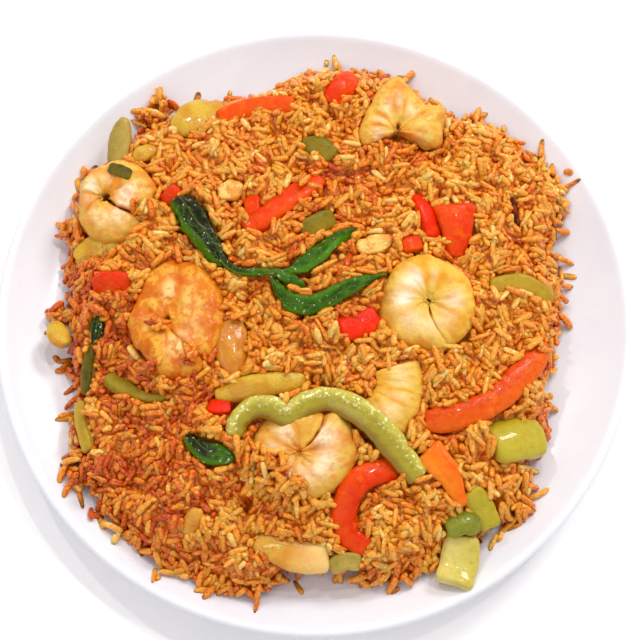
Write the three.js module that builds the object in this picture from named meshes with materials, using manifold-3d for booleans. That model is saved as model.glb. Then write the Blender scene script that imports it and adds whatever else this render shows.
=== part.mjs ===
// Shrimp fried rice on a shallow coupe dish: a mounded heap of long-grain rice with curled
// shrimp, strips of red and green pepper, onion, basil and bits of egg half sunk in it.
// Millimetres, +Z up, origin under the middle of the dish.
import * as THREE from "three";
import { mergeVertices } from "three/addons/utils/BufferGeometryUtils.js";
import Module from "manifold-3d";

// ---- Driving dimensions -------------------------------------------------------------------
const DISH_RADIUS = 122;
const DISH_FLAT = 90; // radius of the flat well
const DISH_WALL = 5; // porcelain thickness under the well
const DISH_WELL_Z = 8; // height of the well's surface
const DISH_RISE = 11; // how far the coupe curve climbs from the well to the lip
const LIP = 3.2; // thickness at the lip
const FOOT_RADIUS = 68;
const FOOT_WIDTH = 5;
const FOOT_DRAFT = [1, 1.5]; // how far the foot ring's inner and outer sides slope
const UNDERSIDE = [
  [96, 2.2],
  [112, 9.5],
]; // the curved underside: radius, then height above the flat underside
const DISH_SIDES = 44;

// Radius of the heap's base, one value each 15 degrees, counter-clockwise from +X.
const HEAP_RADII = [
  96, 98, 113, 110, 103, 108, 106, 99, 103, 105, 107, 101,
  96, 94, 106, 110, 112, 111, 98, 107, 107, 106, 101, 94,
];
const HEAP_EDGE_Z = 21; // height of the heap's shoulder, just inside its outline
const HEAP_CROWN = 19; // how far the middle stands above the shoulder
const HEAP_SHOULDER = 0.955; // where the shoulder is, as a share of the outline's radius
const HEAP_RINGS = 17;
const HEAP_LUMPS = [1.5, 1.2, 0.9]; // heights of the broad, middling and small lumps
const GRAIN_BUMP = 1.5; // relief of the grains, up or down
const GRAIN_SHIFT = 1.2; // sideways unevenness of the relief
const EDGE_SHIFT = 2.2; // unevenness of the heap's outline
const GAP = 0.38; // clearance between touching pieces
const REST_GAP = 0.48; // clearance between the heap and the dish
const POCKET_ROOM = 0.4; // further clearance of a topping's pocket in the heap, which has fewer faces
const SEED = 20260;

const COLOURS = {
  dish: [0xeae6e9, 0.2],
  rice: [0xdc8a3c, 0.55],
  shrimp: [0xf6c67c, 0.4],
  green: [0xa8ac35, 0.3],
  dark: [0x5d7a24, 0.35],
  red: [0xe8360f, 0.3],
  onion: [0xe6b450, 0.35],
  basil: [0x1d5a17, 0.35],
  twig: [0x5a2a12, 0.6],
  egg: [0xf2cb66, 0.55],
};

// ---- Helpers ------------------------------------------------------------------------------
const wasm = await Module();
wasm.setup();

// A repeatable stream of numbers from 0 to 1.
function stream(seed) {
  let state = seed;
  return () => {
    state = (state + 0x6d2b79f5) | 0;
    let mixed = Math.imul(state ^ (state >>> 15), 1 | state);
    mixed = (mixed + Math.imul(mixed ^ (mixed >>> 7), 61 | mixed)) ^ mixed;
    return ((mixed ^ (mixed >>> 14)) >>> 0) / 4294967296;
  };
}

const radians = (degrees) => (degrees * Math.PI) / 180;

function geometryOf(points, triangles) {
  const geometry = new THREE.BufferGeometry();
  geometry.setAttribute("position", new THREE.Float32BufferAttribute(points.flat(), 3));
  geometry.setIndex(triangles.flat());
  return geometry;
}

// A closed geometry as a manifold-3d solid.
function solidOf(geometry) {
  const bare = new THREE.BufferGeometry();
  bare.setAttribute("position", geometry.getAttribute("position"));
  bare.setIndex(geometry.index);
  const merged = mergeVertices(bare, 1e-4);
  return new wasm.Manifold(
    new wasm.Mesh({
      numProp: 3,
      vertProperties: merged.attributes.position.array,
      triVerts: new Uint32Array(merged.index.array),
    }),
  );
}

// A manifold-3d solid's largest body as a geometry. Scraps that a cut leaves loose are dropped.
function geometryFrom(solid) {
  const bodies = solid.decompose().sort((a, b) => b.volume() - a.volume());
  const mesh = bodies[0].getMesh();
  const geometry = new THREE.BufferGeometry();
  geometry.setAttribute("position", new THREE.BufferAttribute(mesh.vertProperties, 3));
  geometry.setIndex(new THREE.BufferAttribute(mesh.triVerts, 1));
  geometry.computeVertexNormals();
  return geometry;
}

// ---- The dish: one turned profile ---------------------------------------------------------
// Height of the dish's inner surface at radius r.
function dishInside(r) {
  const climb = Math.max(0, r - DISH_FLAT) / (DISH_RADIUS - LIP - DISH_FLAT);
  return DISH_WELL_Z + DISH_RISE * climb * climb;
}

// lift raises the inner surface, so that the same profile can trim the food that lies on it.
function dishProfile(lift = 0) {
  const under = DISH_WELL_Z - DISH_WALL;
  const footIn = FOOT_RADIUS - FOOT_WIDTH / 2;
  const footOut = FOOT_RADIUS + FOOT_WIDTH / 2;
  const inside = [110, 100].map((r) => [r, dishInside(r) + lift]);
  const lipZ = DISH_WELL_Z + DISH_RISE;
  return [
    [0, under],
    [footIn - FOOT_DRAFT[0], under],
    [footIn, 0],
    [footOut, 0],
    [footOut + FOOT_DRAFT[1], under],
    ...UNDERSIDE.map(([r, rise]) => [r, under + rise]),
    [DISH_RADIUS, lipZ + lift - 1.2],
    [DISH_RADIUS - 0.9, lipZ + lift + 0.5],
    [DISH_RADIUS - LIP + 0.5, lipZ + lift],
    ...inside,
    [DISH_FLAT, DISH_WELL_Z + lift],
    [0, DISH_WELL_Z + lift],
  ].map(([r, z]) => new THREE.Vector2(r, z));
}

function dishGeometry(lift = 0) {
  const turned = new THREE.LatheGeometry(dishProfile(lift), DISH_SIDES);
  turned.rotateX(Math.PI / 2); // the lathe turns about Y
  return turned;
}

// ---- The heap: an uneven mound on a triangular mesh of rings ------------------------------
function heapRadius(angle) {
  const step = (2 * Math.PI) / HEAP_RADII.length;
  const at = ((angle / step) % HEAP_RADII.length + HEAP_RADII.length) % HEAP_RADII.length;
  const low = Math.floor(at);
  const share = at - low;
  const eased = share * share * (3 - 2 * share);
  const next = HEAP_RADII[(low + 1) % HEAP_RADII.length];
  return HEAP_RADII[low] * (1 - eased) + next * eased;
}

// Height of the heap's surface before the grain relief: a crown with a few broad lumps.
function heapTop(x, y) {
  const share = Math.min(1, Math.hypot(x, y) / heapRadius(Math.atan2(y, x)));
  const broad = HEAP_LUMPS[0] * Math.sin(x / 13 + 1) * Math.cos(y / 15);
  const middling = HEAP_LUMPS[1] * Math.sin(x / 7.3 - y / 9.1);
  const small = HEAP_LUMPS[2] * Math.cos(x / 5.2 + y / 6.1 + 2);
  return HEAP_EDGE_Z + HEAP_CROWN * (1 - share ** 2.2) + broad + middling + small;
}

function heapGeometry() {
  const random = stream(SEED);
  const points = [[0, 0, heapTop(0, 0)]];
  const triangles = [];
  const first = (ring) => (ring === 0 ? 0 : 1 + 3 * ring * (ring - 1)); // ring k holds 6k points
  for (let ring = 1; ring <= HEAP_RINGS; ring++) {
    for (let i = 0; i < 6 * ring; i++) {
      const angle = (2 * Math.PI * i) / (6 * ring);
      const rim = ring === HEAP_RINGS;
      const share = rim ? 1 : (HEAP_SHOULDER * ring) / (HEAP_RINGS - 1);
      const wander = ring >= HEAP_RINGS - 1 ? EDGE_SHIFT : GRAIN_SHIFT;
      const r = heapRadius(angle) * share + (random() - 0.5) * 2 * wander;
      const turn = angle + ((random() - 0.5) * 2 * GRAIN_SHIFT) / Math.max(r, 10);
      const [x, y] = [r * Math.cos(turn), r * Math.sin(turn)];
      const bump = (random() - 0.5) * 2 * GRAIN_BUMP;
      points.push([x, y, rim ? dishInside(r) + REST_GAP : heapTop(x, y) + bump]);
    }
  }
  for (let ring = 1; ring <= HEAP_RINGS; ring++) {
    for (let side = 0; side < 6; side++) {
      for (let i = 0; i < ring; i++) {
        const last = ring - 1;
        const outer = (k) => first(ring) + ((side * ring + k) % (6 * ring));
        const inner = (k) => (last === 0 ? 0 : first(last) + ((side * last + k) % (6 * last)));
        triangles.push([outer(i), outer(i + 1), inner(i)]);
        if (i < ring - 1) triangles.push([outer(i + 1), inner(i + 1), inner(i)]);
      }
    }
  }
  // The underside: a ring where the dish's curve starts, then the flat well.
  const count = 6 * HEAP_RINGS;
  const rim = first(HEAP_RINGS);
  const well = points.length;
  for (let i = 0; i < count; i++) {
    const angle = (2 * Math.PI * i) / count;
    const [x, y] = [DISH_FLAT * Math.cos(angle), DISH_FLAT * Math.sin(angle)];
    points.push([x, y, DISH_WELL_Z + REST_GAP]);
  }
  points.push([0, 0, DISH_WELL_Z + REST_GAP]);
  for (let i = 0; i < count; i++) {
    const next = (i + 1) % count;
    triangles.push([rim + i, well + i, rim + next], [rim + next, well + i, well + next]);
    triangles.push([well + i, points.length - 1, well + next]);
  }
  return geometryOf(points, triangles);
}

// ---- Slabs: pepper, onion, leaves and egg are all bent slabs that follow a spine ----------
const ENDS = {
  blunt: (t) => 1 - 0.22 * (2 * t - 1) ** 6,
  wedge: (t) => 1 - 0.62 * t,
  moon: (t) => 0.35 + 0.65 * Math.sin(Math.PI * Math.min(1, Math.max(0, t))) ** 0.7,
  spike: (t) => 1 - 0.86 * t ** 1.3,
  leaf: (t) => 0.12 + 0.88 * Math.sin(Math.PI * Math.min(1, Math.max(0, t)) ** 0.8) ** 0.9,
  stem: () => 1,
};

// spine: [x, y, lift] points, lift above the heap. bank: the slab's roll in degrees. cup: how
// far its long edges bend down. wave: height of its ripples.
function slabGeometry(piece, grow = 0) {
  const { spine, width, thick, bank = 0, cup = 0, wave = 0 } = piece;
  const { ends = "blunt", along = 6, across = 2, drop = 0 } = piece;
  const curve = new THREE.CatmullRomCurve3(
    spine.map(([x, y, lift]) => new THREE.Vector3(x, y, heapTop(x, y) + lift)),
  );
  const length = curve.getLength();
  const rows = { top: [], bottom: [] };
  for (let i = 0; i <= along; i++) {
    const t = i / along;
    const tangent = curve.getTangentAt(t);
    const place = curve.getPointAt(t).addScaledVector(tangent, (2 * t - 1) * grow);
    const roll = radians(Array.isArray(bank) ? bank[0] + (bank[1] - bank[0]) * t : bank);
    const side = new THREE.Vector3().crossVectors(tangent, new THREE.Vector3(0, 0, 1)).normalize();
    side.applyAxisAngle(tangent, roll);
    const up = new THREE.Vector3().crossVectors(side, tangent).normalize();
    const half = (width * ENDS[ends](t)) / 2 + grow;
    for (let j = 0; j <= across; j++) {
      const v = (2 * j) / across - 1;
      const ripple = wave * Math.sin((t * length) / 3.2 + 2.1 * v);
      const bend = ripple - cup * v * v - drop;
      for (const [face, sign] of [["top", 1], ["bottom", -1]]) {
        rows[face].push(
          place
            .clone()
            .addScaledVector(side, v * half)
            .addScaledVector(up, bend + sign * (thick / 2 + grow))
            .toArray(),
        );
      }
    }
  }
  const points = [...rows.top, ...rows.bottom];
  const shift = rows.top.length;
  const at = (i, j) => i * (across + 1) + j;
  const triangles = [];
  for (let i = 0; i < along; i++) {
    for (let j = 0; j < across; j++) {
      const [a, b, c, d] = [at(i, j), at(i, j + 1), at(i + 1, j + 1), at(i + 1, j)];
      triangles.push([a, b, c], [a, c, d]);
      triangles.push([a + shift, c + shift, b + shift], [a + shift, d + shift, c + shift]);
    }
  }
  const border = [];
  for (let j = 0; j < across; j++) border.push(at(0, j));
  for (let i = 0; i < along; i++) border.push(at(i, across));
  for (let j = across; j > 0; j--) border.push(at(along, j));
  for (let i = along; i > 0; i--) border.push(at(i, 0));
  border.forEach((a, k) => {
    const b = border[(k + 1) % border.length];
    triangles.push([a, a + shift, b], [b, a + shift, b + shift]);
  });
  return geometryOf(points, triangles);
}

// The pocket that a slab needs in the heap: the same slab, straight across, with fewer steps
// and more room.
function slabPocket(piece) {
  const { thick, cup = 0, wave = 0, along = 6 } = piece;
  const steps = along > 5 ? along : 3;
  const depth = thick + cup + 2 * wave;
  const room = { thick: depth, cup: 0, wave: 0, drop: cup / 2, along: steps, across: 1 };
  return slabGeometry({ ...piece, ...room }, GAP + POCKET_ROOM);
}

// ---- Shrimp: a tapering body curled about an eye, pinched where its segments meet ---------
const SHRIMP_STEPS = 18;
const SHRIMP_POCKET_STEPS = 12;
const SHRIMP_SIDES = 8;
const SHRIMP_SEGMENTS = 6;
const SHRIMP_PINCH = 0.09; // how much thinner the body is where two segments meet

// at: [x, y, lift]. girth: the body's depth at the head end. taper: the tail's share of it.
// sweep: how far round it curls. eye: the gap at the middle of the curl. turn, tip, lean: its
// rotation about Z, then X and Y. stretch: how much longer it is front to back.
function shrimpGeometry(piece, grow = 0, steps = SHRIMP_STEPS) {
  const { at, girth, taper, sweep, eye, flat, turn, tip, lean = 0, stretch = 1 } = piece;
  const points = [];
  const triangles = [];
  for (let i = 0; i <= steps; i++) {
    const t = i / steps;
    const closing = Math.min(1, 0.45 + 8 * Math.min(t, 1 - t));
    const pinch = 1 - SHRIMP_PINCH * Math.cos(Math.PI * SHRIMP_SEGMENTS * t) ** 8;
    const depth = (girth / 2) * (1 - (1 - taper) * t ** 1.3);
    const reach = eye + depth;
    const angle = radians(sweep) * t + ((2 * t - 1) * grow) / reach;
    const radial = depth * closing * (1 - (1 - pinch) * 0.5) + grow;
    const height = depth * flat * closing * pinch + grow;
    for (let j = 0; j < SHRIMP_SIDES; j++) {
      const around = (2 * Math.PI * j) / SHRIMP_SIDES;
      const r = Math.max(0.25, reach + radial * Math.cos(around));
      points.push([r * Math.cos(angle), r * Math.sin(angle), height * Math.sin(around)]);
    }
  }
  const ring = (i, j) => i * SHRIMP_SIDES + (j % SHRIMP_SIDES);
  for (let i = 0; i < steps; i++) {
    for (let j = 0; j < SHRIMP_SIDES; j++) {
      triangles.push([ring(i, j), ring(i + 1, j), ring(i, j + 1)]);
      triangles.push([ring(i, j + 1), ring(i + 1, j), ring(i + 1, j + 1)]);
    }
  }
  for (let j = 1; j < SHRIMP_SIDES - 1; j++) {
    triangles.push([ring(0, 0), ring(0, j), ring(0, j + 1)]);
    triangles.push([ring(steps, 0), ring(steps, j + 1), ring(steps, j)]);
  }
  const geometry = geometryOf(points, triangles);
  geometry.rotateZ(radians(turn));
  geometry.scale(1, stretch, 1);
  geometry.rotateX(radians(tip));
  geometry.rotateY(radians(lean));
  geometry.translate(at[0], at[1], heapTop(at[0], at[1]) + at[2]);
  return geometry;
}

const shrimpPocket = (piece) => {
  return shrimpGeometry(piece, GAP + 2 * POCKET_ROOM, SHRIMP_POCKET_STEPS);
};

// ---- What lies in the heap, the top pieces first: a lower piece is trimmed clear of those above it 
const SLABS = [
  { name: "herb_on_shrimp", kind: "dark", width: 5.5, thick: 1.6, bank: 6, along: 3, across: 1,
    spine: [[-78, 53, 9.4], [-73, 52.5, 9.8], [-68, 52, 9]] },
  { name: "pepper_green_long", kind: "green", width: 8.5, thick: 4.6, bank: [35, 18], cup: 0.7,
    along: 12,
    spine: [[-26, -54, 1], [-23, -45, 3.4], [-16.5, -41, 5], [-7.5, -45, 5], [3.5, -40, 6],
      [16.5, -43, 4.6], [28, -54.5, 2.6], [37.5, -67.5, 1.4]] },
  { name: "pepper_red_arc", kind: "red", width: 9.2, thick: 4.6, bank: 12, cup: 0.7, along: 8,
    spine: [[40, -45, 0], [56, -41, 1.1], [69, -34, 1.4], [79, -24, 1.1], [84, -13, 0.2]] },
  { name: "pepper_red_hook", kind: "red", width: 8, thick: 4.6, bank: [-10, 25], cup: 0.6, along: 8,
    spine: [[30, -62, -0.4], [17, -67, 0.9], [11, -76, 1.2], [12, -86, 0.9], [20, -91, -0.2]] },
  { name: "pepper_red_bright", kind: "red", width: 9, thick: 4.6, bank: -12, cup: 0.8, along: 6,
    spine: [[-26, 27.5, -0.4], [-17, 33.5, 1.2], [-7, 41.5, 1.4], [2, 49.5, -0.2]] },
  { name: "pepper_red_bright_end", kind: "red", width: 6.5, thick: 3.8,
    bank: 20, along: 3, across: 1,
    spine: [[-24, 42, -0.4], [-23.5, 37, 0.3], [-23, 33, -0.2]] },
  { name: "pepper_red_chunk", kind: "red", width: 15, thick: 4.8, bank: -10, cup: 1.5,
    ends: "wedge", along: 4,
    spine: [[54, 37, 0.2], [54.5, 28, 1.5], [53, 18, 0]] },
  { name: "pepper_red_chunk_side", kind: "red", width: 6.5, thick: 4,
    bank: -30, along: 4, across: 1,
    spine: [[39, 42, -0.4], [42, 34, 0.5], [44.5, 25, 0]] },
  { name: "pepper_red_tail", kind: "red", width: 11, thick: 4, bank: 10, cup: 0.6,
    ends: "wedge", along: 4,
    spine: [[43, -60, 0], [49, -67, 1.2], [54, -76, 1.6]] },
  { name: "pepper_red_back", kind: "red", width: 8.5, thick: 4.4, bank: 25, cup: 0.6, along: 5,
    spine: [[-38, 80, -0.4], [-24, 83.5, 0.9], [-8, 83, -0.3]] },
  { name: "pepper_red_back_knob", kind: "red", width: 10, thick: 4.6, bank: 20, cup: 1.2, along: 4,
    spine: [[6, 84, 0], [11, 91, 1.4], [16, 97, 0.5]] },
  { name: "pepper_red_left", kind: "red", width: 9, thick: 4.4, bank: 30, cup: 0.8, along: 4,
    spine: [[-83, 9, -0.4], [-77, 10, 0.9], [-70, 11, -0.2]] },
  { name: "pepper_red_middle", kind: "red", width: 9.2, thick: 4.4, bank: 8, cup: 0.6, along: 4,
    spine: [[9, -13, -0.2], [16, -10, 0.9], [22.5, -6, -0.3]] },
  { name: "pepper_red_bit_upper", kind: "red", width: 6, thick: 3.6, along: 3, across: 1,
    spine: [[32.5, 20, -0.2], [36, 21, 0.5], [40, 22, -0.2]] },
  { name: "pepper_red_bit_lower", kind: "red", width: 5.5, thick: 3.6,
    bank: -15, along: 3, across: 1,
    spine: [[-38.5, -41, -0.2], [-34.5, -42, 0.5], [-30.5, -42, -0.2]] },
  { name: "pepper_red_bit_left", kind: "red", width: 5, thick: 3.4, bank: 20, along: 3, across: 1,
    spine: [[-58, 41.5, -0.2], [-55, 44, 0.5], [-52.5, 47, -0.2]] },
  { name: "pepper_green_chunk", kind: "green", width: 15.5, thick: 5, bank: -8, cup: 2.6, along: 5,
    spine: [[68, -54, -0.4], [76, -50, 1.6], [84.5, -46.5, -0.4]] },
  { name: "pepper_green_right", kind: "green", width: 6.8, thick: 4.2, bank: 20, cup: 0.5, along: 5,
    spine: [[66, 7, -0.6], [78, 9, 1.1], [90, 4, -0.4]] },
  { name: "pepper_green_fold", kind: "dark", width: 9, thick: 3.6, bank: -14, cup: 1.6, along: 4,
    spine: [[47.5, -83, 1], [54.5, -81, 2.4], [60, -82, 1.4]] },
  { name: "pepper_green_foot", kind: "green", width: 14.5, thick: 4.2, bank: 4, cup: 1.2, along: 4,
    spine: [[53.5, -88.5, 0.4], [52.5, -96, 0.8], [50, -103, 1.6]] },
  { name: "pepper_green_side", kind: "green", width: 7, thick: 4, bank: 10, cup: 0.6, along: 4,
    spine: [[60, -67, -0.2], [64, -73, 0.4], [67.5, -80.5, -0.8]] },
  { name: "pepper_green_tip", kind: "green", width: 11, thick: 3.8, bank: -12, cup: 0.8,
    ends: "spike", along: 4,
    spine: [[-78, 61, -1], [-77, 70, 2], [-75, 79, 4.6]] },
  { name: "pepper_green_edge_upper", kind: "green", width: 4.5, thick: 3.8,
    bank: 30, along: 4, across: 1,
    spine: [[-84, -15, -0.2], [-85, -24, 0.5], [-85, -33, -0.2]] },
  { name: "pepper_green_edge_lower", kind: "green", width: 5.5, thick: 4, bank: 38, cup: 0.5,
    along: 4,
    spine: [[-86, -38, -0.6], [-86.5, -46, 0.2], [-85, -55, -0.8]] },
  { name: "pepper_olive_left", kind: "dark", width: 8, thick: 3.8, bank: -25, cup: 0.7,
    ends: "wedge", along: 5,
    spine: [[-77, -26, -0.2], [-69, -33, 0.4], [-60, -37, 0.2], [-53, -36, -0.5]] },
  { name: "pepper_olive_top", kind: "dark", width: 7.5, thick: 3.8, bank: 20, cup: 0.5, along: 4,
    spine: [[-5, 64.5, -0.4], [2, 63.5, 0.6], [7, 57.5, -0.3]] },
  { name: "pepper_olive_middle", kind: "dark", width: 7.5, thick: 3.6,
    bank: 24, along: 4, across: 1,
    spine: [[-5, 25, -0.6], [0, 29, 0.2], [7, 33, -0.4]] },
  { name: "pepper_green_front", kind: "green", width: 6.5, thick: 3.8,
    bank: 15, along: 3, across: 1,
    spine: [[10, -100, -1.4], [15, -98.5, -0.2], [20, -101, -1]] },
  { name: "twig", kind: "twig", width: 1.6, thick: 1.6, along: 3, across: 1,
    spine: [[76, 44, 0.8], [77, 38, 1.3], [78, 32.5, 0.8]] },
  { name: "onion_top", kind: "onion", width: 15, thick: 3, cup: 1.6,
    ends: "moon", bank: -10, along: 6,
    spine: [[-56, 75, 0], [-47, 81, 1.4], [-37, 87, 0.2]] },
  { name: "onion_left", kind: "onion", width: 9, thick: 3, cup: 1, ends: "moon", bank: 10, along: 5,
    spine: [[-92, 21, -0.4], [-84, 25, 0.7], [-75, 27, -0.2]] },
  { name: "onion_petal", kind: "onion", width: 10, thick: 3, cup: 1.4,
    ends: "moon", bank: 8, along: 5,
    spine: [[-31, -29, -0.3], [-30, -19, 0.9], [-28, -8, -0.2]] },
  { name: "onion_long", kind: "onion", width: 7.5, thick: 3, cup: 0.8,
    ends: "moon", bank: 12, along: 6,
    spine: [[-36, -37, -0.2], [-21, -34.5, 0.9], [-3, -31, 0.2]] },
  { name: "onion_front", kind: "onion", width: 11.5, thick: 3.4, cup: 1.6,
    ends: "moon", bank: 6, along: 6,
    spine: [[-23, -90, -0.6], [-8, -93.5, 0.8], [6, -96, -1]] },
  { name: "onion_edge", kind: "onion", width: 8.5, thick: 3, cup: 1,
    ends: "moon", bank: -14, along: 4,
    spine: [[-100, -3, -1.2], [-97.5, -8, -0.6], [-94, -13, -0.6]] },
  { name: "onion_bit", kind: "onion", width: 7, thick: 3, cup: 0.8, ends: "moon", along: 4,
    spine: [[-71, 62, -0.2], [-67, 64, 0.5], [-62, 65, -0.2]] },
  { name: "onion_glassy", kind: "onion", width: 7, thick: 3, cup: 0.6, ends: "moon", along: 4,
    spine: [[-46, -86, -0.4], [-44, -81.5, 0.4], [-42, -77, -0.4]] },
  { name: "basil_bottom", kind: "basil", width: 10.5, thick: 1.3, cup: 2.2, wave: 0.5,
    ends: "leaf", along: 6,
    spine: [[-48, -55, 0.4], [-39.5, -57, 1.2], [-31, -56, 0.4]] },
  { name: "basil_edge", kind: "basil", width: 6, thick: 1.3, cup: 1.2, wave: 0.3,
    ends: "leaf", along: 5,
    spine: [[-82, -3, 0.5], [-84, -7.5, 1], [-86, -12, 0.5]] },
  { name: "egg_upper", kind: "egg", width: 9.5, thick: 4, wave: 0.7, ends: "moon", along: 4,
    spine: [[-37, 43, -0.2], [-32, 44, 0.6], [-27.5, 46, -0.1]] },
  { name: "egg_middle", kind: "egg", width: 7.5, thick: 3.8, wave: 0.6, ends: "moon", along: 5,
    spine: [[16, 21, -0.4], [22, 20.5, 0.4], [29, 23, -0.3]] },
];

// The sprig is one piece: three leaves on one stem.
const SPRIG = [
  { width: 13, thick: 1.3, cup: 3.4, wave: 0.6, ends: "leaf", bank: -8, along: 8,
    spine: [[-53, 41, 0.8], [-47, 35, 3], [-40, 26, 3.6], [-35, 17, 2.4]] },
  { width: 2.4, thick: 2.4, ends: "stem", along: 5, across: 1,
    spine: [[-36, 20, 2.6], [-32, 14, 2.2], [-26, 11.5, 2], [-15, 10.5, 1.8]] },
  { width: 9, thick: 1.3, cup: 1.4, wave: 0.5, ends: "leaf", bank: -25, along: 8,
    spine: [[-18, 10.5, 1.8], [-6, 15, 2.6], [6, 23, 3.4], [18, 27.5, 2.6]] },
  { width: 6.2, thick: 1.3, cup: 1.2, wave: 0.6, ends: "leaf", bank: 25, along: 8,
    spine: [[-18, 11, 1.8], [-12, 4.5, 2], [-4, 0, 2.4], [6, 0, 3], [16, 4.5, 3], [27, 9.5, 2.4]] },
];

const SHRIMPS = [
  { name: "shrimp_right", at: [43.5, -1.5, 1.8], girth: 18.4, taper: 0.88, sweep: 338,
    eye: 0.9, flat: 0.86, turn: -49, tip: 6 },
  { name: "shrimp_left", at: [-52, -10, 1.2], girth: 20, taper: 0.78, sweep: 285,
    eye: 1.6, flat: 0.74, turn: -12, tip: -8, lean: -10, stretch: 1.26 },
  { name: "shrimp_upper_left", at: [-78, 43.5, 1.2], girth: 17.4, taper: 0.78, sweep: 290,
    eye: 1, flat: 0.84, turn: -72, tip: 8, lean: -12 },
  { name: "shrimp_front", at: [-3, -58, 0.8], girth: 18.6, taper: 0.8, sweep: 305,
    eye: 1, flat: 0.8, turn: 104, tip: 12 },
  { name: "shrimp_back", at: [32, 71, 2.4], girth: 19, taper: 0.8, sweep: 240,
    eye: 1, flat: 0.74, turn: -30, tip: 18, lean: 6 },
  { name: "shrimp_centre", at: [28.5, -38, 0.4], girth: 15.5, taper: 0.8, sweep: 210,
    eye: 0.8, flat: 0.8, turn: 25, tip: 8, lean: 6, stretch: 1.2 },
];

// ---- Assembly -----------------------------------------------------------------------------
const joined = (solids) => solids.reduce((whole, solid) => whole.add(solid));

// Each topping: its solid grown by a clearance, and the pocket it needs in the heap.
const toppings = [
  {
    name: "basil_sprig",
    kind: "basil",
    grown: (grow) => joined(SPRIG.map((leaf) => solidOf(slabGeometry(leaf, grow)))),
    pocket: () => joined(SPRIG.map((leaf) => solidOf(slabPocket(leaf)))),
  },
  ...SLABS.map((piece) => ({
    ...piece,
    grown: (grow) => solidOf(slabGeometry(piece, grow)),
    pocket: () => solidOf(slabPocket(piece)),
  })),
  ...SHRIMPS.map((piece) => ({
    ...piece,
    kind: "shrimp",
    grown: (grow) => solidOf(shrimpGeometry(piece, grow)),
    pocket: () => solidOf(shrimpPocket(piece)),
  })),
];

const plated = new THREE.Group();

function addMesh(name, kind, geometry) {
  const [color, roughness] = COLOURS[kind];
  const material = new THREE.MeshStandardMaterial({ color, roughness, metalness: 0 });
  const mesh = new THREE.Mesh(geometry, material);
  mesh.name = name;
  plated.add(mesh);
}

addMesh("dish", "dish", dishGeometry());

const dishKeepOut = solidOf(dishGeometry(GAP));
const placed = [];
let heap = solidOf(heapGeometry());
for (const { name, kind, grown, pocket } of toppings) {
  let solid = grown(0).subtract(dishKeepOut);
  placed.forEach((other) => {
    solid = solid.subtract(other);
  });
  addMesh(name, kind, geometryFrom(solid));
  placed.push(grown(GAP));
  heap = heap.subtract(pocket());
}
addMesh("rice_heap", "rice", geometryFrom(heap));

export default plated;
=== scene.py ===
# %% [markdown]
# # A plate of shrimp fried rice
#
# Fried rice is a heap of thousands of loose, sauce-stained grains with larger things half
# sunk in it: curled shrimp, strips of pepper, slices of onion, basil and bits of egg. Each
# cell below makes one of them. The solids that the construction model holds give every
# piece its place and size, and this script makes what the eye sees there.

import math

import bmesh
import bpy
import numpy as np
from mathutils import Matrix, Vector, noise
from mathutils.bvhtree import BVHTree


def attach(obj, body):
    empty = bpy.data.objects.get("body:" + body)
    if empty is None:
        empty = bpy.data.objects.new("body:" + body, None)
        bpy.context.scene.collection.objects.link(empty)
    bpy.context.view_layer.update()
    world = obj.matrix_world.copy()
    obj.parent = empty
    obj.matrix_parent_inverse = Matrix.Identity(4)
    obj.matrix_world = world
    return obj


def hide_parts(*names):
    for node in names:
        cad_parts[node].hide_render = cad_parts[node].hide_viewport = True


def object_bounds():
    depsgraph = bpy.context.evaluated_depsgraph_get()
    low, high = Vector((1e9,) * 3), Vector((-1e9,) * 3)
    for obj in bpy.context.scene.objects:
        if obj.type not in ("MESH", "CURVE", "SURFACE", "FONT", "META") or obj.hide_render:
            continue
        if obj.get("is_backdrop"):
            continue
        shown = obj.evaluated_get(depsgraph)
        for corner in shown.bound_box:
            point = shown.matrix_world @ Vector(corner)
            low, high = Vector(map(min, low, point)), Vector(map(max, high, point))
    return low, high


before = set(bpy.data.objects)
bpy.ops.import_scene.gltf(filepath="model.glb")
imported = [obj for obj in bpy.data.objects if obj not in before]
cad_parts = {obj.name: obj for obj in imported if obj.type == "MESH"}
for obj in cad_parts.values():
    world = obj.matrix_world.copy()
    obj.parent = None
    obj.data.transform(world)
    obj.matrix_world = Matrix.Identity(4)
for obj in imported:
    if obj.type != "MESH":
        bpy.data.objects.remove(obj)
cad_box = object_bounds()
MM = 0.001  # lengths below are in millimetres, and finished pieces are in metres
print("nodes to dress:", len(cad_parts))

# %% [markdown]
# ## Camera, light and floor
#
# The plate is looked down on from across the table, about 72 degrees up. One large soft
# lamp stands to the right and behind the plate, so the shadows between the grains fall to
# the left and towards the viewer. A pale, slightly cool sky and a wide weak lamp in front
# fill them. Three small lamps above and behind give the wet surfaces their sharp glints,
# because one large lamp alone would only lay a grey sheen over the food.

# %% Camera
AIM = Vector((2, 4, 0)) * MM
CAMERA_RISE = math.radians(72)
CAMERA_AWAY = 620 * MM
LENS = 88.2  # millimetres of focal length on a 36 mm sensor

lens = bpy.data.cameras.new("plate_camera")
lens.lens = LENS
camera = bpy.data.objects.new("plate_camera", lens)
bpy.context.scene.collection.objects.link(camera)
away = Vector((0, -math.cos(CAMERA_RISE), math.sin(CAMERA_RISE)))
camera.location = AIM + away * CAMERA_AWAY
camera.rotation_euler = (math.pi / 2 - CAMERA_RISE, 0, 0)
bpy.context.scene.camera = camera
print("camera stands at", [round(value, 3) for value in camera.location])


# %% Lamps and sky
def lamp(name, spot, size, power, colour):
    """A square soft lamp that faces the middle of the plate."""
    light = bpy.data.lights.new(name, "AREA")
    light.size = size
    light.energy = power
    light.color = colour
    holder = bpy.data.objects.new(name, light)
    bpy.context.scene.collection.objects.link(holder)
    holder.location = spot
    holder.rotation_euler = (-Vector(spot)).to_track_quat("-Z", "Y").to_euler()


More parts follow.
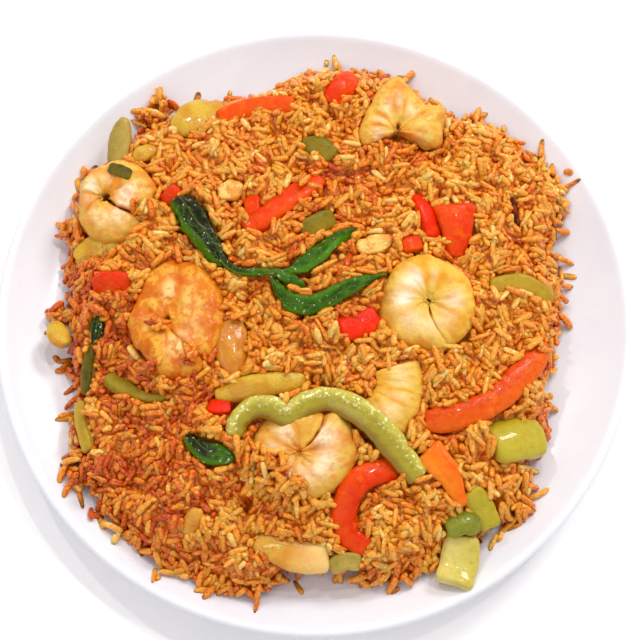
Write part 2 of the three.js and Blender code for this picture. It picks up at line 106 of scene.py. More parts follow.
lamp("window_light", (0.95, 1.10, 1.25), 0.45, 12.5, (1.0, 0.98, 0.95))
lamp("glint_back", (0.15, 0.80, 1.40), 0.05, 4.0, (1.0, 0.99, 0.97))
lamp("glint_left", (-0.50, 0.85, 1.20), 0.05, 3.0, (1.0, 0.99, 0.97))
lamp("glint_right", (0.65, 0.45, 1.50), 0.05, 3.0, (1.0, 0.99, 0.97))
lamp("fill_light", (-1.00, -0.60, 1.50), 1.2, 4.0, (1.0, 0.98, 0.96))
sky = bpy.data.worlds.new("pale_sky")
sky.use_nodes = True
backdrop = sky.node_tree.nodes["Background"]
backdrop.inputs["Color"].default_value = (0.97, 0.96, 0.96, 1)
backdrop.inputs["Strength"].default_value = 0.76
bpy.context.scene.world = sky
bpy.context.scene.view_settings.view_transform = "Standard"

# %% [markdown]
# ## Shared shader parts
#
# Every food here is blotchy, wet in places and finely rough. Each of these effects is one
# node group that all the materials reuse with their own sizes, instead of the same nodes
# laid out again in each. The groups put out only colours, masks and heights. The
# Principled shader, with its fixed values, stays in each material.


# %% Node helpers
def paint(red, green, blue):
    """A screen colour, 0 to 255, as the linear colour that shaders want."""
    levels = [value / 255 for value in (red, green, blue)]
    linear = [v / 12.92 if v <= 0.04045 else ((v + 0.055) / 1.055) ** 2.4 for v in levels]
    return (*linear, 1.0)


def put(tree, kind, inputs=None, **settings):
    """Add a node, set its options, and set or link its inputs by name or number."""
    made = tree.nodes.new(kind)
    for key, value in settings.items():
        setattr(made, key, value)
    for key, value in (inputs or {}).items():
        if isinstance(value, bpy.types.NodeSocket):
            tree.links.new(value, made.inputs[key])
        else:
            made.inputs[key].default_value = value
    return made


def mixed(tree, factor, first, second):
    """The colour between two colours, by factor."""
    made = put(tree, "ShaderNodeMix", data_type="RGBA")
    for slot, value in ((0, factor), (6, first), (7, second)):
        if isinstance(value, bpy.types.NodeSocket):
            tree.links.new(value, made.inputs[slot])
        else:
            made.inputs[slot].default_value = value
    return made.outputs[2]


def sums(tree, operation, first, second, clamp=False):
    """One step of arithmetic on two values."""
    made = put(tree, "ShaderNodeMath", {0: first, 1: second}, operation=operation)
    made.use_clamp = clamp
    return made.outputs[0]


def between(tree, value, low, high, to_low=0.0, to_high=1.0):
    """Stretch the part of a value from low to high over another range, softly."""
    inputs = {"Value": value, "From Min": low, "From Max": high}
    inputs.update({"To Min": to_low, "To Max": to_high})
    made = put(tree, "ShaderNodeMapRange", inputs, interpolation_type="SMOOTHSTEP")
    return made.outputs["Result"]


def ramp(tree, factor, stops):
    """Colours along a value: a list of (position, colour)."""
    made = put(tree, "ShaderNodeValToRGB", {"Fac": factor})
    band = made.color_ramp
    while len(band.elements) < len(stops):
        band.elements.new(0.5)
    for element, (position, colour) in zip(band.elements, stops):
        element.position = position
        element.color = colour
    return made.outputs["Color"]


def painted(tree, name):
    """A value that was painted on the mesh's points."""
    return put(tree, "ShaderNodeAttribute", attribute_name=name).outputs["Fac"]


def place(tree):
    """Object coordinates, in metres."""
    return put(tree, "ShaderNodeTexCoord").outputs["Object"]


print("helpers ready")


# %% Helpers for node groups
def new_group(name, inputs, outputs):
    """An empty node group with named sockets: (name, kind, value) and (name, kind)."""
    group = bpy.data.node_groups.new(name, "ShaderNodeTree")
    for label, kind, value in inputs:
        socket = group.interface.new_socket(label, in_out="INPUT", socket_type=kind)
        if value is not None:
            socket.default_value = value
    for label, kind in outputs:
        group.interface.new_socket(label, in_out="OUTPUT", socket_type=kind)
    return group, group.nodes.new("NodeGroupInput"), group.nodes.new("NodeGroupOutput")


def clouds_in(group, entry, detail):
    """A noise texture inside a group, with its place and scale from the group's inputs."""
    inputs = {key: entry.outputs[key] for key in ("Vector", "Scale")}
    return put(group, "ShaderNodeTexNoise", {**inputs, "Detail": detail}).outputs["Fac"]


FLOAT, VECTOR = "NodeSocketFloat", "NodeSocketVector"
print("group helpers ready")

# %% Blotches and wetness
# Blotches: cloudy patches with soft edges. Cover is about how much of the surface they take.
BLOTCHES, entry, leave = new_group(
    "Blotches",
    [("Vector", VECTOR, None), ("Scale", FLOAT, 200.0), ("Cover", FLOAT, 0.5)],
    [("Mask", FLOAT)],
)
edge = sums(BLOTCHES, "SUBTRACT", 0.7, sums(BLOTCHES, "MULTIPLY", entry.outputs["Cover"], 0.4))
shifted = sums(BLOTCHES, "SUBTRACT", clouds_in(BLOTCHES, entry, 3.0), edge)
BLOTCHES.links.new(between(BLOTCHES, shifted, -0.08, 0.08), leave.inputs["Mask"])

# Wetness: roughness that wanders between a wet and a dull value.
WETNESS, entry, leave = new_group(
    "Wetness",
    [("Vector", VECTOR, None), ("Scale", FLOAT, 300.0), ("Wet", FLOAT, 0.2), ("Dull", FLOAT, 0.5)],
    [("Roughness", FLOAT)],
)
spread = put(WETNESS, "ShaderNodeMapRange", {"Value": clouds_in(WETNESS, entry, 2.0)})
for label, source in (("To Min", "Wet"), ("To Max", "Dull")):
    WETNESS.links.new(entry.outputs[source], spread.inputs[label])
spread.inputs["From Min"].default_value = 0.35
spread.inputs["From Max"].default_value = 0.65
WETNESS.links.new(spread.outputs["Result"], leave.inputs["Roughness"])
print("groups:", [group.name for group in bpy.data.node_groups])

# %% Relief and veins
# Flesh relief: small soft dents with finer pores over them.
RELIEF, entry, leave = new_group(
    "Flesh Relief",
    [("Vector", VECTOR, None), ("Scale", FLOAT, 500.0)],
    [("Height", FLOAT)],
)
dents = clouds_in(RELIEF, entry, 4.0)
finer = sums(RELIEF, "MULTIPLY", entry.outputs["Scale"], 3.1)
pores = put(RELIEF, "ShaderNodeTexVoronoi", {"Vector": entry.outputs["Vector"], "Scale": finer})
pored = sums(RELIEF, "MULTIPLY", pores.outputs["Distance"], 0.25)
RELIEF.links.new(sums(RELIEF, "ADD", dents, pored), leave.inputs["Height"])

# Veins: thin wandering lines, where a cloudy field crosses its middle value.
VEINS, entry, leave = new_group(
    "Veins",
    [("Vector", VECTOR, None), ("Scale", FLOAT, 120.0), ("Width", FLOAT, 0.03)],
    [("Mask", FLOAT)],
)
off_middle = sums(VEINS, "SUBTRACT", clouds_in(VEINS, entry, 3.0), 0.5)
off_middle = sums(VEINS, "ABSOLUTE", off_middle, 0.0)
line = put(VEINS, "ShaderNodeMapRange", {"Value": off_middle, "To Min": 1.0, "To Max": 0.0})
VEINS.links.new(entry.outputs["Width"], line.inputs["From Max"])
line.inputs["From Min"].default_value = 0.0
VEINS.links.new(line.outputs["Result"], leave.inputs["Mask"])


def use(tree, group, **inputs):
    """Place a node group in a material, with Object coordinates going in."""
    made = tree.nodes.new("ShaderNodeGroup")
    made.node_tree = group
    tree.links.new(place(tree), made.inputs["Vector"])
    for key, value in inputs.items():
        made.inputs[key.capitalize()].default_value = value
    return made.outputs[0]


print("groups:", [group.name for group in bpy.data.node_groups])


# %% A blank finish
FINISHES = {}


def socket_name(key):
    """The shader's own name for a socket, from the word that stands for it here."""
    return key.replace("_", " ").title().replace("Ior", "IOR")


def finish(name, **fixed):
    """Start a material and keep it by name, with fixed values on its shader's sockets."""
    material = bpy.data.materials.new(name)
    material.use_nodes = True
    FINISHES[name] = material
    shader = material.node_tree.nodes["Principled BSDF"]
    for key, value in fixed.items():
        shader.inputs[socket_name(key)].default_value = value
    return material.node_tree, shader


def relief(tree, shader, height, depth, strength=1.0):
    """Dent a material's surface by a height, depth metres deep."""
    inputs = {"Height": height, "Distance": depth, "Strength": strength}
    bump = put(tree, "ShaderNodeBump", inputs)
    tree.links.new(bump.outputs["Normal"], shader.inputs["Normal"])


def feed(tree, shader, **sockets):
    """Link sockets into a shader's inputs by name."""
    for key, socket in sockets.items():
        tree.links.new(socket, shader.inputs[socket_name(key)])


print("finish helper ready")

# %% [markdown]
# ## The shapes that everything shares
#
# All the toppings lie on one mound, so their places are stated as a distance above it. The
# functions below are the same ones as in the construction model, so a strip of pepper made
# here lands where its solid is.

# %% Dish and heap surfaces
DISH_RADIUS = 122
DISH_FLAT = 90
DISH_WELL_Z = 8
DISH_RISE = 11
LIP = 3.2
HEAP_RADII = np.array(
    [96, 98, 113, 110, 103, 108, 106, 99, 103, 105, 107, 101]
    + [96, 94, 106, 110, 112, 111, 98, 107, 107, 106, 101, 94],
    float,
)  # one radius each 15 degrees, counter-clockwise from +X
HEAP_EDGE_Z = 21
HEAP_CROWN = 19


def dish_height(r):
    """Height of the dish's inner surface at a radius."""
    climb = np.maximum(0, r - DISH_FLAT) / (DISH_RADIUS - LIP - DISH_FLAT)
    return DISH_WELL_Z + DISH_RISE * climb * climb


def heap_radius(angle):
    """How far the heap reaches in a direction."""
    at = (angle / (2 * np.pi) * len(HEAP_RADII)) % len(HEAP_RADII)
    low = np.floor(at).astype(int) % len(HEAP_RADII)
    share = at - np.floor(at)
    eased = share * share * (3 - 2 * share)
    return HEAP_RADII[low] * (1 - eased) + HEAP_RADII[(low + 1) % len(HEAP_RADII)] * eased


def heap_share(x, y):
    """How far out a place is, as a share of the heap's reach there."""
    return np.hypot(x, y) / heap_radius(np.arctan2(y, x))


def heap_top(x, y):
    """Height of the mound that the toppings lie on."""
    share = np.minimum(1, heap_share(x, y))
    broad = 1.5 * np.sin(x / 13 + 1) * np.cos(y / 15)
    middling = 1.2 * np.sin(x / 7.3 - y / 9.1)
    small = 0.9 * np.cos(x / 5.2 + y / 6.1 + 2)
    return HEAP_EDGE_Z + HEAP_CROWN * (1 - share**2.2) + broad + middling + small


print("crown of the heap:", round(float(heap_top(0.0, 0.0)), 1), "mm")


# %% Curves and lofts
MEASURED = 300  # steps in which the length of a curve is measured


def spline(points, share):
    """A point on a smooth curve through the points, at a share of the way along."""
    last = len(points) - 1
    at = min(max(share, 0), 1) * last
    i = min(int(at), last - 1)
    f = at - i
    p1, p2 = points[i], points[i + 1]
    p0 = points[i - 1] if i > 0 else 2 * p1 - p2
    p3 = points[i + 2] if i + 2 <= last else 2 * p2 - p1
    bend = (p2 - p0) * f + (2 * p0 - 5 * p1 + 4 * p2 - p3) * f**2
    return 0.5 * (2 * p1 + bend + (3 * p1 - p0 - 3 * p2 + p3) * f**3)


def evenly(points, shares):
    """Points on the smooth curve at shares of its length, and the length."""
    fine = [spline(points, i / MEASURED) for i in range(MEASURED + 1)]
    steps = [0.0] + [(b - a).length for a, b in zip(fine, fine[1:])]
    run = np.cumsum(steps)
    at = np.interp(np.array(shares) * run[-1], run, np.linspace(0, 1, MEASURED + 1))
    return [spline(points, share) for share in at], float(run[-1])


def loft(bm, rings):
    """Draw one ring of edges out through every ring of points, and close the two ends."""
    count = len(rings[0])
    row = bmesh.ops.create_circle(bm, cap_ends=False, segments=count, radius=1)["verts"]
    rows = []
    for number, ring in enumerate(rings):
        if number:
            edges = [bm.edges.get((row[k], row[(k + 1) % count])) for k in range(count)]
            drawn = bmesh.ops.extrude_edge_only(bm, edges=edges)["geom"]
            fresh = {item for item in drawn if isinstance(item, bmesh.types.BMVert)}
            ends = [[edge.other_vert(vert) for edge in vert.link_edges] for vert in row]
            row = [next(vert for vert in found if vert in fresh) for found in ends]
        for vert, point in zip(row, ring):
            vert.co = point
        rows.append(row)
    for end in (rows[0], rows[-1]):
        bmesh.ops.contextual_create(bm, geom=end)
    bmesh.ops.recalc_face_normals(bm, faces=bm.faces[:])
    return rows


def settle(name, bm, look, slot, *nodes):
    """Turn a bmesh in millimetres into a piece with a finish, which rides on the plate."""
    bmesh.ops.scale(bm, verts=bm.verts[:], vec=(MM, MM, MM))
    mesh = bpy.data.meshes.new(name)
    bm.to_mesh(mesh)
    bm.free()
    mesh.shade_smooth()
    mesh.materials.append(FINISHES[look])
    piece = bpy.data.objects.new(name, mesh)
    bpy.context.scene.collection.objects.link(piece)
    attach(piece, "root")
    if nodes:
        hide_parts(*nodes)
    return piece


print("loft and settle ready")

# %% [markdown]
# ## The dish
#
# A coupe dish is thrown or pressed as one round shape: a flat well, a wall that curves up
# with no rim, a rounded lip and a foot ring. Spinning one profile about the middle makes
# all of it at once. The solid of the dish has the same profile with few sides, so this
# finer one replaces it. The glaze is a cool white with faint clouds.

# %% Dish profile
UNDER = 3.0  # height of the flat underside, inside the foot ring
DISH_SIDES = 180
inner = [Vector((r, 0, float(dish_height(r)))) for r in np.linspace(86, 117.5, 16)]
lip = [Vector(p) for p in ((118.8, 0, 19.0), (120.0, 0, 19.5), (121.1, 0, 19.4))]
lip += [Vector(p) for p in ((121.8, 0, 18.8), (122, 0, 17.9), (121.2, 0, 16.9))]
outer = [Vector(p) for p in ((117, 0, 15.2), (112, 0, 12.5), (104, 0, 8.2), (96, 0, 5.4))]
outer += [Vector(p) for p in ((86, 0, 3.7), (76, 0, 3.1), (72.2, 0, 2.8), (71.2, 0, 1.6))]
foot = [Vector(p) for p in ((70.8, 0, 0.4), (70.2, 0, 0), (66, 0, 0), (65.3, 0, 0.4))]
foot += [Vector(p) for p in ((64.9, 0, 1.8), (63.8, 0, 2.8), (60, 0, UNDER), (30, 0, UNDER))]
profile = [Vector((0, 0, DISH_WELL_Z)), Vector((40, 0, DISH_WELL_Z))] + inner + lip
profile += outer + foot + [Vector((0, 0, UNDER))]
print("profile points:", len(profile))


# %% Spin the dish
def spin_profile(points, sides):
    """A bmesh of the profile spun all the way round the upright axis."""
    bm = bmesh.new()
    verts = [bm.verts.new(point) for point in points]
    edges = [bm.edges.new(pair) for pair in zip(verts, verts[1:])]
    bmesh.ops.spin(
        bm,
        geom=verts + edges,
        cent=(0, 0, 0),
        axis=(0, 0, 1),
        angle=2 * math.pi,
        steps=sides,
        use_merge=True,
    )
    bmesh.ops.remove_doubles(bm, verts=bm.verts[:], dist=0.001)
    bmesh.ops.recalc_face_normals(bm, faces=bm.faces[:])
    return bm


tree, shader = finish("glaze", coat_weight=0.1, coat_roughness=0.12)
clouds = use(tree, BLOTCHES, scale=22.0, cover=0.5)
feed(tree, shader, base_color=mixed(tree, clouds, paint(225, 226, 234), paint(230, 230, 236)))
feed(tree, shader, roughness=use(tree, WETNESS, scale=60.0, wet=0.24, dull=0.34))
relief(tree, shader, use(tree, RELIEF, scale=120.0), 0.00006, 0.4)

dish = settle("dish_glazed", spin_profile(profile, DISH_SIDES), "glaze", "glaze", "dish")
print("dish faces:", len(dish.data.polygons))

# %% [markdown]
# ## Finishes of the foods
#
# Each topping has a skin side and a cut side, and the mesh says which is which: every point
# carries how much it faces the skin, how far along the piece it is and how far across. The
# materials read those values, so a pepper is glossy red on its skin and paler on its flesh
# wherever it bends. Soft stains of sauce lie over the peppers, and the onion is cloudy. This
# way one material serves a whole row of pieces, and no piece needs a picture laid over it.


# %% Pepper finishes
def pepper_finish(name, skin_low, skin_high, flesh, sauce, lit=None, wet=0.12):
    """Glossy cooked pepper: skin in two shades, paler cut flesh, a few sauce stains. With a
    lit colour, its far edge gets a painted highlight with painted glints, and its flesh
    shows along the near edge."""
    tree, shader = finish(name, coat_weight=wet, coat_roughness=0.05, specular_ior_level=0.1,
                          subsurface_weight=0.15, subsurface_scale=0.002)
    across = painted(tree, "across")
    patches = sums(tree, "MULTIPLY", use(tree, BLOTCHES, scale=400.0, cover=0.6), 0.3)
    shade = sums(tree, "ADD", patches, between(tree, across, -0.9, 0.9, 0.0, 0.7))
    shades = mixed(tree, shade, skin_low, skin_high)
    skin = between(tree, painted(tree, "skin"), 0.42, 0.62)
    coloured = mixed(tree, skin, flesh, shades)
    if lit:
        # Painted highlight: the far edge is coloured paler, as if the lamps lit it.
        coloured = mixed(tree, between(tree, across, -0.1, -0.7), coloured, lit)
        coloured = mixed(tree, between(tree, across, 0.15, 0.7), coloured, flesh)
        # Painted glints: small pale spots on the far half of the strip.
        glint_spots = use(tree, BLOTCHES, scale=800.0, cover=0.2)
        painted_glints = sums(tree, "MULTIPLY", glint_spots, between(tree, across, 0.1, -0.5))
        coloured = mixed(tree, painted_glints, coloured, paint(244, 240, 196))
    stains = sums(tree, "MULTIPLY", use(tree, BLOTCHES, scale=330.0, cover=0.2), 0.4)
    feed(tree, shader, base_color=mixed(tree, stains, coloured, sauce))
    feed(tree, shader, roughness=use(tree, WETNESS, scale=260.0, wet=0.14, dull=0.34))
    relief(tree, shader, use(tree, RELIEF, scale=520.0), 0.0006, 0.6)


# A strip's fifth colour, where it has one, is the painted highlight of its far edge.
PEPPER_COLOURS = {
    "red_pepper": ((212, 42, 0), (226, 72, 0), (238, 120, 16), (238, 108, 12)),
    "deep_red_pepper": ((212, 26, 0), (230, 44, 0), (230, 90, 14), (230, 80, 8)),
    "orange_pepper": ((230, 70, 0), (238, 98, 6), (240, 140, 34), (240, 126, 22)),
    "arc_pepper": ((206, 56, 2), (222, 96, 14), (238, 136, 30), (238, 124, 24)),
    "tail_pepper": ((232, 90, 8), (238, 134, 26), (240, 160, 50), (240, 146, 36)),
    "lime_pepper": ((170, 152, 26), (188, 170, 42), (208, 184, 70), (176, 140, 24)),
    "pale_pepper": ((190, 170, 60), (216, 200, 110), (216, 198, 110), (204, 178, 74)),
    "olive_pepper": ((116, 102, 16), (150, 128, 30), (172, 138, 44), (144, 104, 16)),
    "long_pepper": ((148, 136, 12), (174, 156, 26), (146, 116, 14), (150, 116, 14), (190, 178, 58)),
    "dark_pepper": ((74, 66, 8), (112, 96, 20), (140, 120, 44), (66, 42, 4)),
    "green_pepper": ((98, 104, 12), (138, 142, 32), (176, 156, 40), (112, 98, 6)),
    "brown_pepper": ((168, 136, 32), (196, 162, 52), (204, 164, 58), (180, 124, 28)),
    "tip_pepper": ((154, 132, 50), (184, 158, 78), (186, 160, 78), (166, 130, 46)),
}  # skin in two shades, flesh and sauce, and for one strip its lit edge
WET = {"lime_pepper": 0.5, "long_pepper": 0.9, "green_pepper": 0.5, "pale_pepper": 0.5}
for name, colours in PEPPER_COLOURS.items():
    pepper_finish(name, *(paint(*colour) for colour in colours), wet=WET.get(name, 0.12))
print("pepper finishes:", len(PEPPER_COLOURS))


# %% Onion finish
def onion_finish(name, pale, deep, milky=None):
    """Half-clear cooked onion with faint lengthwise veins. One end can be milky."""
    tree, shader = finish(name, coat_weight=0.3, coat_roughness=0.08, specular_ior_level=0.2,
                          subsurface_weight=0.45, subsurface_scale=0.004)
    veins = sums(tree, "SINE", sums(tree, "MULTIPLY", painted(tree, "across"), 17.0), 0.0)
    veined = sums(tree, "MULTIPLY", between(tree, veins, -0.2, 1.0), 0.15)
    cloudy = sums(tree, "MULTIPLY", use(tree, BLOTCHES, scale=120.0, cover=0.5), 0.8)
    coloured = mixed(tree, sums(tree, "ADD", veined, cloudy, clamp=True), deep, pale)
    if milky:
        coloured = mixed(tree, between(tree, painted(tree, "along"), 9.0, 27.0), coloured, milky)
    feed(tree, shader, base_color=coloured)
    feed(tree, shader, roughness=use(tree, WETNESS, scale=240.0, wet=0.16, dull=0.36))
    relief(tree, shader, use(tree, RELIEF, scale=260.0), 0.0007, 0.6)


onion_finish("cooked_onion", paint(206, 170, 48), paint(198, 140, 26))
onion_finish("sauced_onion", paint(206, 144, 42), paint(196, 118, 22))
onion_finish("clear_onion", paint(214, 160, 54), paint(206, 136, 32), paint(234, 194, 118))
print("finishes so far:", len(FINISHES))

# %% Basil finish
tree, shader = finish("basil_leaf", coat_weight=0.2, coat_roughness=0.07,
                      specular_ior_level=0.08)
across = sums(tree, "ABSOLUTE", painted(tree, "across"), 0.0)
midrib = between(tree, across, 0.1, 0.02)
veins = sums(tree, "MAXIMUM", use(tree, VEINS, scale=170.0, width=0.04), midrib)
margin = between(tree, painted(tree, "across"), 0.45, 0.9)
where = put(tree, "ShaderNodeSeparateXYZ", {0: place(tree)}).outputs
slant = sums(tree, "SUBTRACT", where["X"], sums(tree, "MULTIPLY", where["Y"], 0.15))
fresher = between(tree, slant, -0.032, -0.024)  # the leaves at the right wilted less
patches = sums(tree, "MULTIPLY", use(tree, BLOTCHES, scale=260.0, cover=0.45), 0.35)
shaded = sums(tree, "ADD", patches, between(tree, across, 0.0, 1.0, 0.1, 0.6))
blade = mixed(tree, shaded, paint(14, 16, 0), paint(44, 52, 0))
fresh = mixed(tree, shaded, paint(28, 66, 0), paint(66, 116, 6))
blade = mixed(tree, fresher, blade, fresh)
veined = mixed(tree, sums(tree, "MULTIPLY", veins, 0.5), blade, paint(84, 108, 20))
rimmed = mixed(tree, margin, veined, paint(74, 124, 8))
# Painted glints: a few small pale spots on the leaves.
painted_leaf_glints = use(tree, BLOTCHES, scale=640.0, cover=0.02)
feed(tree, shader, base_color=mixed(tree, painted_leaf_glints, rimmed, paint(206, 214, 190)))
feed(tree, shader, roughness=use(tree, WETNESS, scale=300.0, wet=0.15, dull=0.45))
relief(tree, shader, use(tree, RELIEF, scale=330.0), 0.0009, 0.8)
print("finishes so far:", len(FINISHES))

# %% Egg and twig finishes
tree, shader = finish("scrambled_egg", subsurface_weight=0.25, subsurface_scale=0.003)
sauced = use(tree, BLOTCHES, scale=280.0, cover=0.5)
curds = mixed(tree, sauced, paint(224, 148, 46), paint(238, 194, 100))
feed(tree, shader, base_color=curds)
feed(tree, shader, roughness=use(tree, WETNESS, scale=300.0, wet=0.32, dull=0.6))
relief(tree, shader, use(tree, RELIEF, scale=360.0), 0.0012, 0.9)

tree, shader = finish("browned_twig", specular_ior_level=0.1)
char = mixed(tree, use(tree, BLOTCHES, scale=400.0, cover=0.5), paint(126, 46, 8), paint(70, 22, 4))
feed(tree, shader, base_color=char)
feed(tree, shader, roughness=use(tree, WETNESS, scale=300.0, wet=0.45, dull=0.75))
relief(tree, shader, use(tree, RELIEF, scale=700.0), 0.0003, 0.8)
print("finishes so far:", len(FINISHES))

# %% [markdown]
# ## Strips, slices and leaves
#
# Pepper, onion, basil and egg all came off the board as slabs: something flat that bends
# along its length, rolls to one side and cups across. So one builder serves them all. It
# walks along a smooth spine, draws a rounded-rectangle section there, and lofts a skin
# through the sections. Noise then makes the edges wander as cut and wilted food does.

# %% Painted lofts, and wilting
def loft_painted(bm, rings, marks, names):
    """Loft the rings, and keep named values on their points for the materials to read."""
    layers = [bm.verts.layers.float.get(name) for name in names]
    if layers[0] is None:
        layers = [bm.verts.layers.float.new(name) for name in names]
    for row, mark in zip(loft(bm, rings), marks):
        for vert, values in zip(row, mark):
            for layer, value in zip(layers, values):
                vert[layer] = value


def wilt(bm, amount, size, seed):
    """Push points in and out along their normals by smooth noise."""
    bm.normal_update()
    shift = Vector((seed * 7.3, seed * 3.1, seed * 5.7))
    for vert in bm.verts:
        vert.co += vert.normal * amount * noise.fractal(vert.co / size + shift, 0.8, 2.0, 3)
    return bm


print("painted lofts ready")

# %% Slab builder
ENDS = {
    "blunt": lambda t: 1 - 0.22 * (2 * t - 1) ** 6,
    "wedge": lambda t: 1 - 0.62 * t,
    "club": lambda t: (0.92 + 0.32 * t) * (1 - 0.22 * (2 * t - 1) ** 6),
    "moon": lambda t: 0.42 + 0.58 * math.sin(math.pi * t) ** 0.6,
    "spike": lambda t: (0.75 + 0.25 * math.sin(math.pi * t)) * math.sqrt(1.06 - t**4),
    "leaf": lambda t: 0.12 + 0.88 * math.sin(math.pi * t**0.8) ** 0.9,
    "torn": lambda t: 0.86 + 0.14 * math.sin(math.pi * t) - 0.66 * t**3,
    "stem": lambda t: 1.0,
}  # how wide a slab is, as a share, at t from 0 to 1 along it
SECTION = 24  # points round a slab's section
SECTION_GAP = 1.1  # about how far apart the sections are
THIN_END = 1.2  # how far from its ends a slab starts to thin out
CAP = 0.55  # the ring that closes an end, as a share of the last section
PAINTED = ("skin", "along", "across")


def section_shares(length):
    """Where a slab's sections are, as shares of its length, closer together at the ends."""
    count = max(10, int(length / SECTION_GAP))
    crowded = [0.5 - 0.5 * math.cos(math.pi * i / count) for i in range(count + 1)]
    return [min(1, 0.55 * i / count + 0.45 * share) for i, share in enumerate(crowded)]


def slab(bm, spine, width, thick, bank=(0, 0), cup=0.0, ends="blunt", wave=0.0, square=0.5,
         pleat=0.0, seed=0):
    """Loft a bent slab into the bmesh, and paint skin, along and across on its points."""
    points = [Vector((x, y, float(heap_top(x, y)) + lift)) for x, y, lift in spine]
    length = evenly(points, [0, 1])[1]
    shares = section_shares(length)
    count = len(shares) - 1
    places, _ = evenly(points, shares)
    rings, marks = [], []
    for i, (t, spot) in enumerate(zip(shares, places)):
        tangent = (places[min(i + 1, count)] - places[max(i - 1, 0)]).normalized()
        side = tangent.cross(Vector((0, 0, 1))).normalized()
        roll = math.radians(bank[0] + (bank[1] - bank[0]) * t)
        side = Matrix.Rotation(roll, 3, tangent) @ side
        up = side.cross(tangent).normalized()
        near_end = min(t, 1 - t) * length
        blunting = 1 - 0.35 * max(0, 1 - near_end / THIN_END) ** 2
        wander = 1 + 0.10 * noise.noise(Vector((t * length / 6, seed * 3.7, 0.5)))
        half = width * ENDS[ends](t) / 2 * wander * (0.8 + 0.2 * blunting)
        deep = thick * blunting * (1 + 0.12 * noise.noise(Vector((t * length / 5, 9.1, seed))))
        ring, mark = [], []
        for k in range(SECTION):
            turn = 2 * math.pi * k / SECTION
            v = math.copysign(abs(math.cos(turn)) ** square, math.cos(turn))
            h = math.copysign(abs(math.sin(turn)) ** square, math.sin(turn))
            ripple = wave * math.sin(t * length / 3.2 + 2.1 * v)
            pleated = pleat * math.cos(3 * math.pi * v) * math.sin(math.pi * t)
            bend = ripple - cup * v * v + pleated
            ring.append(spot + side * (v * half) + up * (bend + h * deep / 2))
            mark.append((0.5 + 0.5 * h, t * length, v))
        rings.append(ring)
        marks.append(mark)
    for end in (0, -1):
        middle = sum(rings[end], Vector()) / SECTION
        shrunk = [middle + (point - middle) * CAP for point in rings[end]]
        at = 0 if end == 0 else len(rings)
        rings.insert(at, shrunk)
        marks.insert(at, marks[end])
    loft_painted(bm, rings, marks, PAINTED)
    return bm


print("slab builder ready")

# %% [markdown]
# ## Peppers
#
# The strips were cut across a bell pepper, so each is a few millimetres of flesh with skin
# on top, and most are bent into arcs. Each row below gives a strip's width, thickness, roll
# at its two ends, how far its edges droop, the shape of its ends and its spine. The third
# number of each point of a spine is its height above the mound, so a strip follows the heap
# and its ends dip into the rice.

# %% Red pepper strips
RED_STRIPS = [
    ("pepper_red_arc", 10, 4.6, (12, 12), 0.7, "blunt",
     [(40, -46, 0), (52, -44.5, 1.1), (65, -38.5, 1.6), (75, -29.5, 1.4), (82.5, -20, 1.1),
      (84.5, -13, 0.2)]),
    ("pepper_red_hook", 9.6, 4.6, (-10, 25), 0.6, "blunt",
     [(30, -62, -0.4), (17, -67, 0.9), (11, -76, 1.2), (12, -86, 0.9), (20, -91, -0.2)]),
    ("pepper_red_bright", 9, 4.6, (-12, -12), 0.8, "blunt",
     [(-26, 27.5, -0.4), (-17, 33.5, 1.2), (-7, 41.5, 1.4), (2, 49.5, -0.2)]),
    ("pepper_red_bright_end", 6.5, 3.8, (20, 20), 0, "blunt",
     [(-24, 42, -0.4), (-23.5, 37, 0.3), (-23, 33, -0.2)]),
    ("pepper_red_chunk", 18, 4.8, (-10, -10), 1.5, "wedge",
     [(53, 38, 0.8), (54, 28, 2.2), (53, 18, 0.4)]),
    ("pepper_red_chunk_side", 6.5, 4, (-30, -30), 0, "blunt",
     [(39, 42, -0.4), (42, 34, 0.5), (44.5, 25, 0)]),
    ("pepper_red_tail", 12.5, 4, (10, 10), 0.6, "wedge",
     [(40.5, -57, 0), (48, -65, 1.4), (53.5, -76, 1.6)]),
    ("pepper_red_back", 8.5, 4.4, (25, 25), 0.6, "blunt",
     [(-38, 80, -0.4), (-24, 83.5, 0.9), (-8, 83, -0.3)]),
    ("pepper_red_back_knob", 10, 4.6, (20, 20), 1.2, "blunt",
     [(6, 84, 0), (11, 91, 1.4), (16, 97, 0.5)]),
    ("pepper_red_left", 9.6, 4.4, (30, 30), 0.8, "blunt",
     [(-83, 7.5, -0.4), (-77, 8, 0.9), (-69, 8, -0.2)]),
    ("pepper_red_middle", 10, 4.4, (8, 8), 0.6, "blunt",
     [(9, -13.5, -0.2), (16, -11, 0.9), (23, -7, -0.3)]),
    ("pepper_red_bit_upper", 6, 3.6, (0, 0), 0, "blunt",
     [(32.5, 20, -0.2), (36, 21, 0.5), (40, 22, -0.2)]),
    ("pepper_red_bit_lower", 5.5, 3.6, (-15, -15), 0, "blunt",
     [(-38.5, -41, -0.2), (-34.5, -42, 0.5), (-30.5, -42, -0.2)]),
    ("pepper_red_bit_left", 5, 3.4, (20, 20), 0, "blunt",
     [(-58, 41.5, -0.2), (-55, 44, 0.5), (-52.5, 47, -0.2)]),
]
RED_FINISH = {
    "pepper_red_arc": "arc_pepper",
    "pepper_red_back": "orange_pepper",
    "pepper_red_chunk_side": "deep_red_pepper",
    "pepper_red_tail": "tail_pepper",
    "pepper_red_middle": "deep_red_pepper",
    "pepper_red_bit_lower": "deep_red_pepper",
}


def cook_strips(strips, finishes, usual, slot, amount=0.35):
    """Make every strip of a table, each with its own seed, as one piece for each node."""
    made = []
    for seed, (node, width, thick, bank, cup, ends, spine) in enumerate(strips, 1):
        bm = slab(bmesh.new(), spine, width, thick, bank, cup, ends, seed=seed)
        wilt(bm, amount, 4.0, seed)
        made.append(settle(node + "_cooked", bm, finishes.get(node, usual), slot, node))
    return made


toppings = cook_strips(RED_STRIPS, RED_FINISH, "red_pepper", "red_pepper")
print("red strips:", len(toppings))

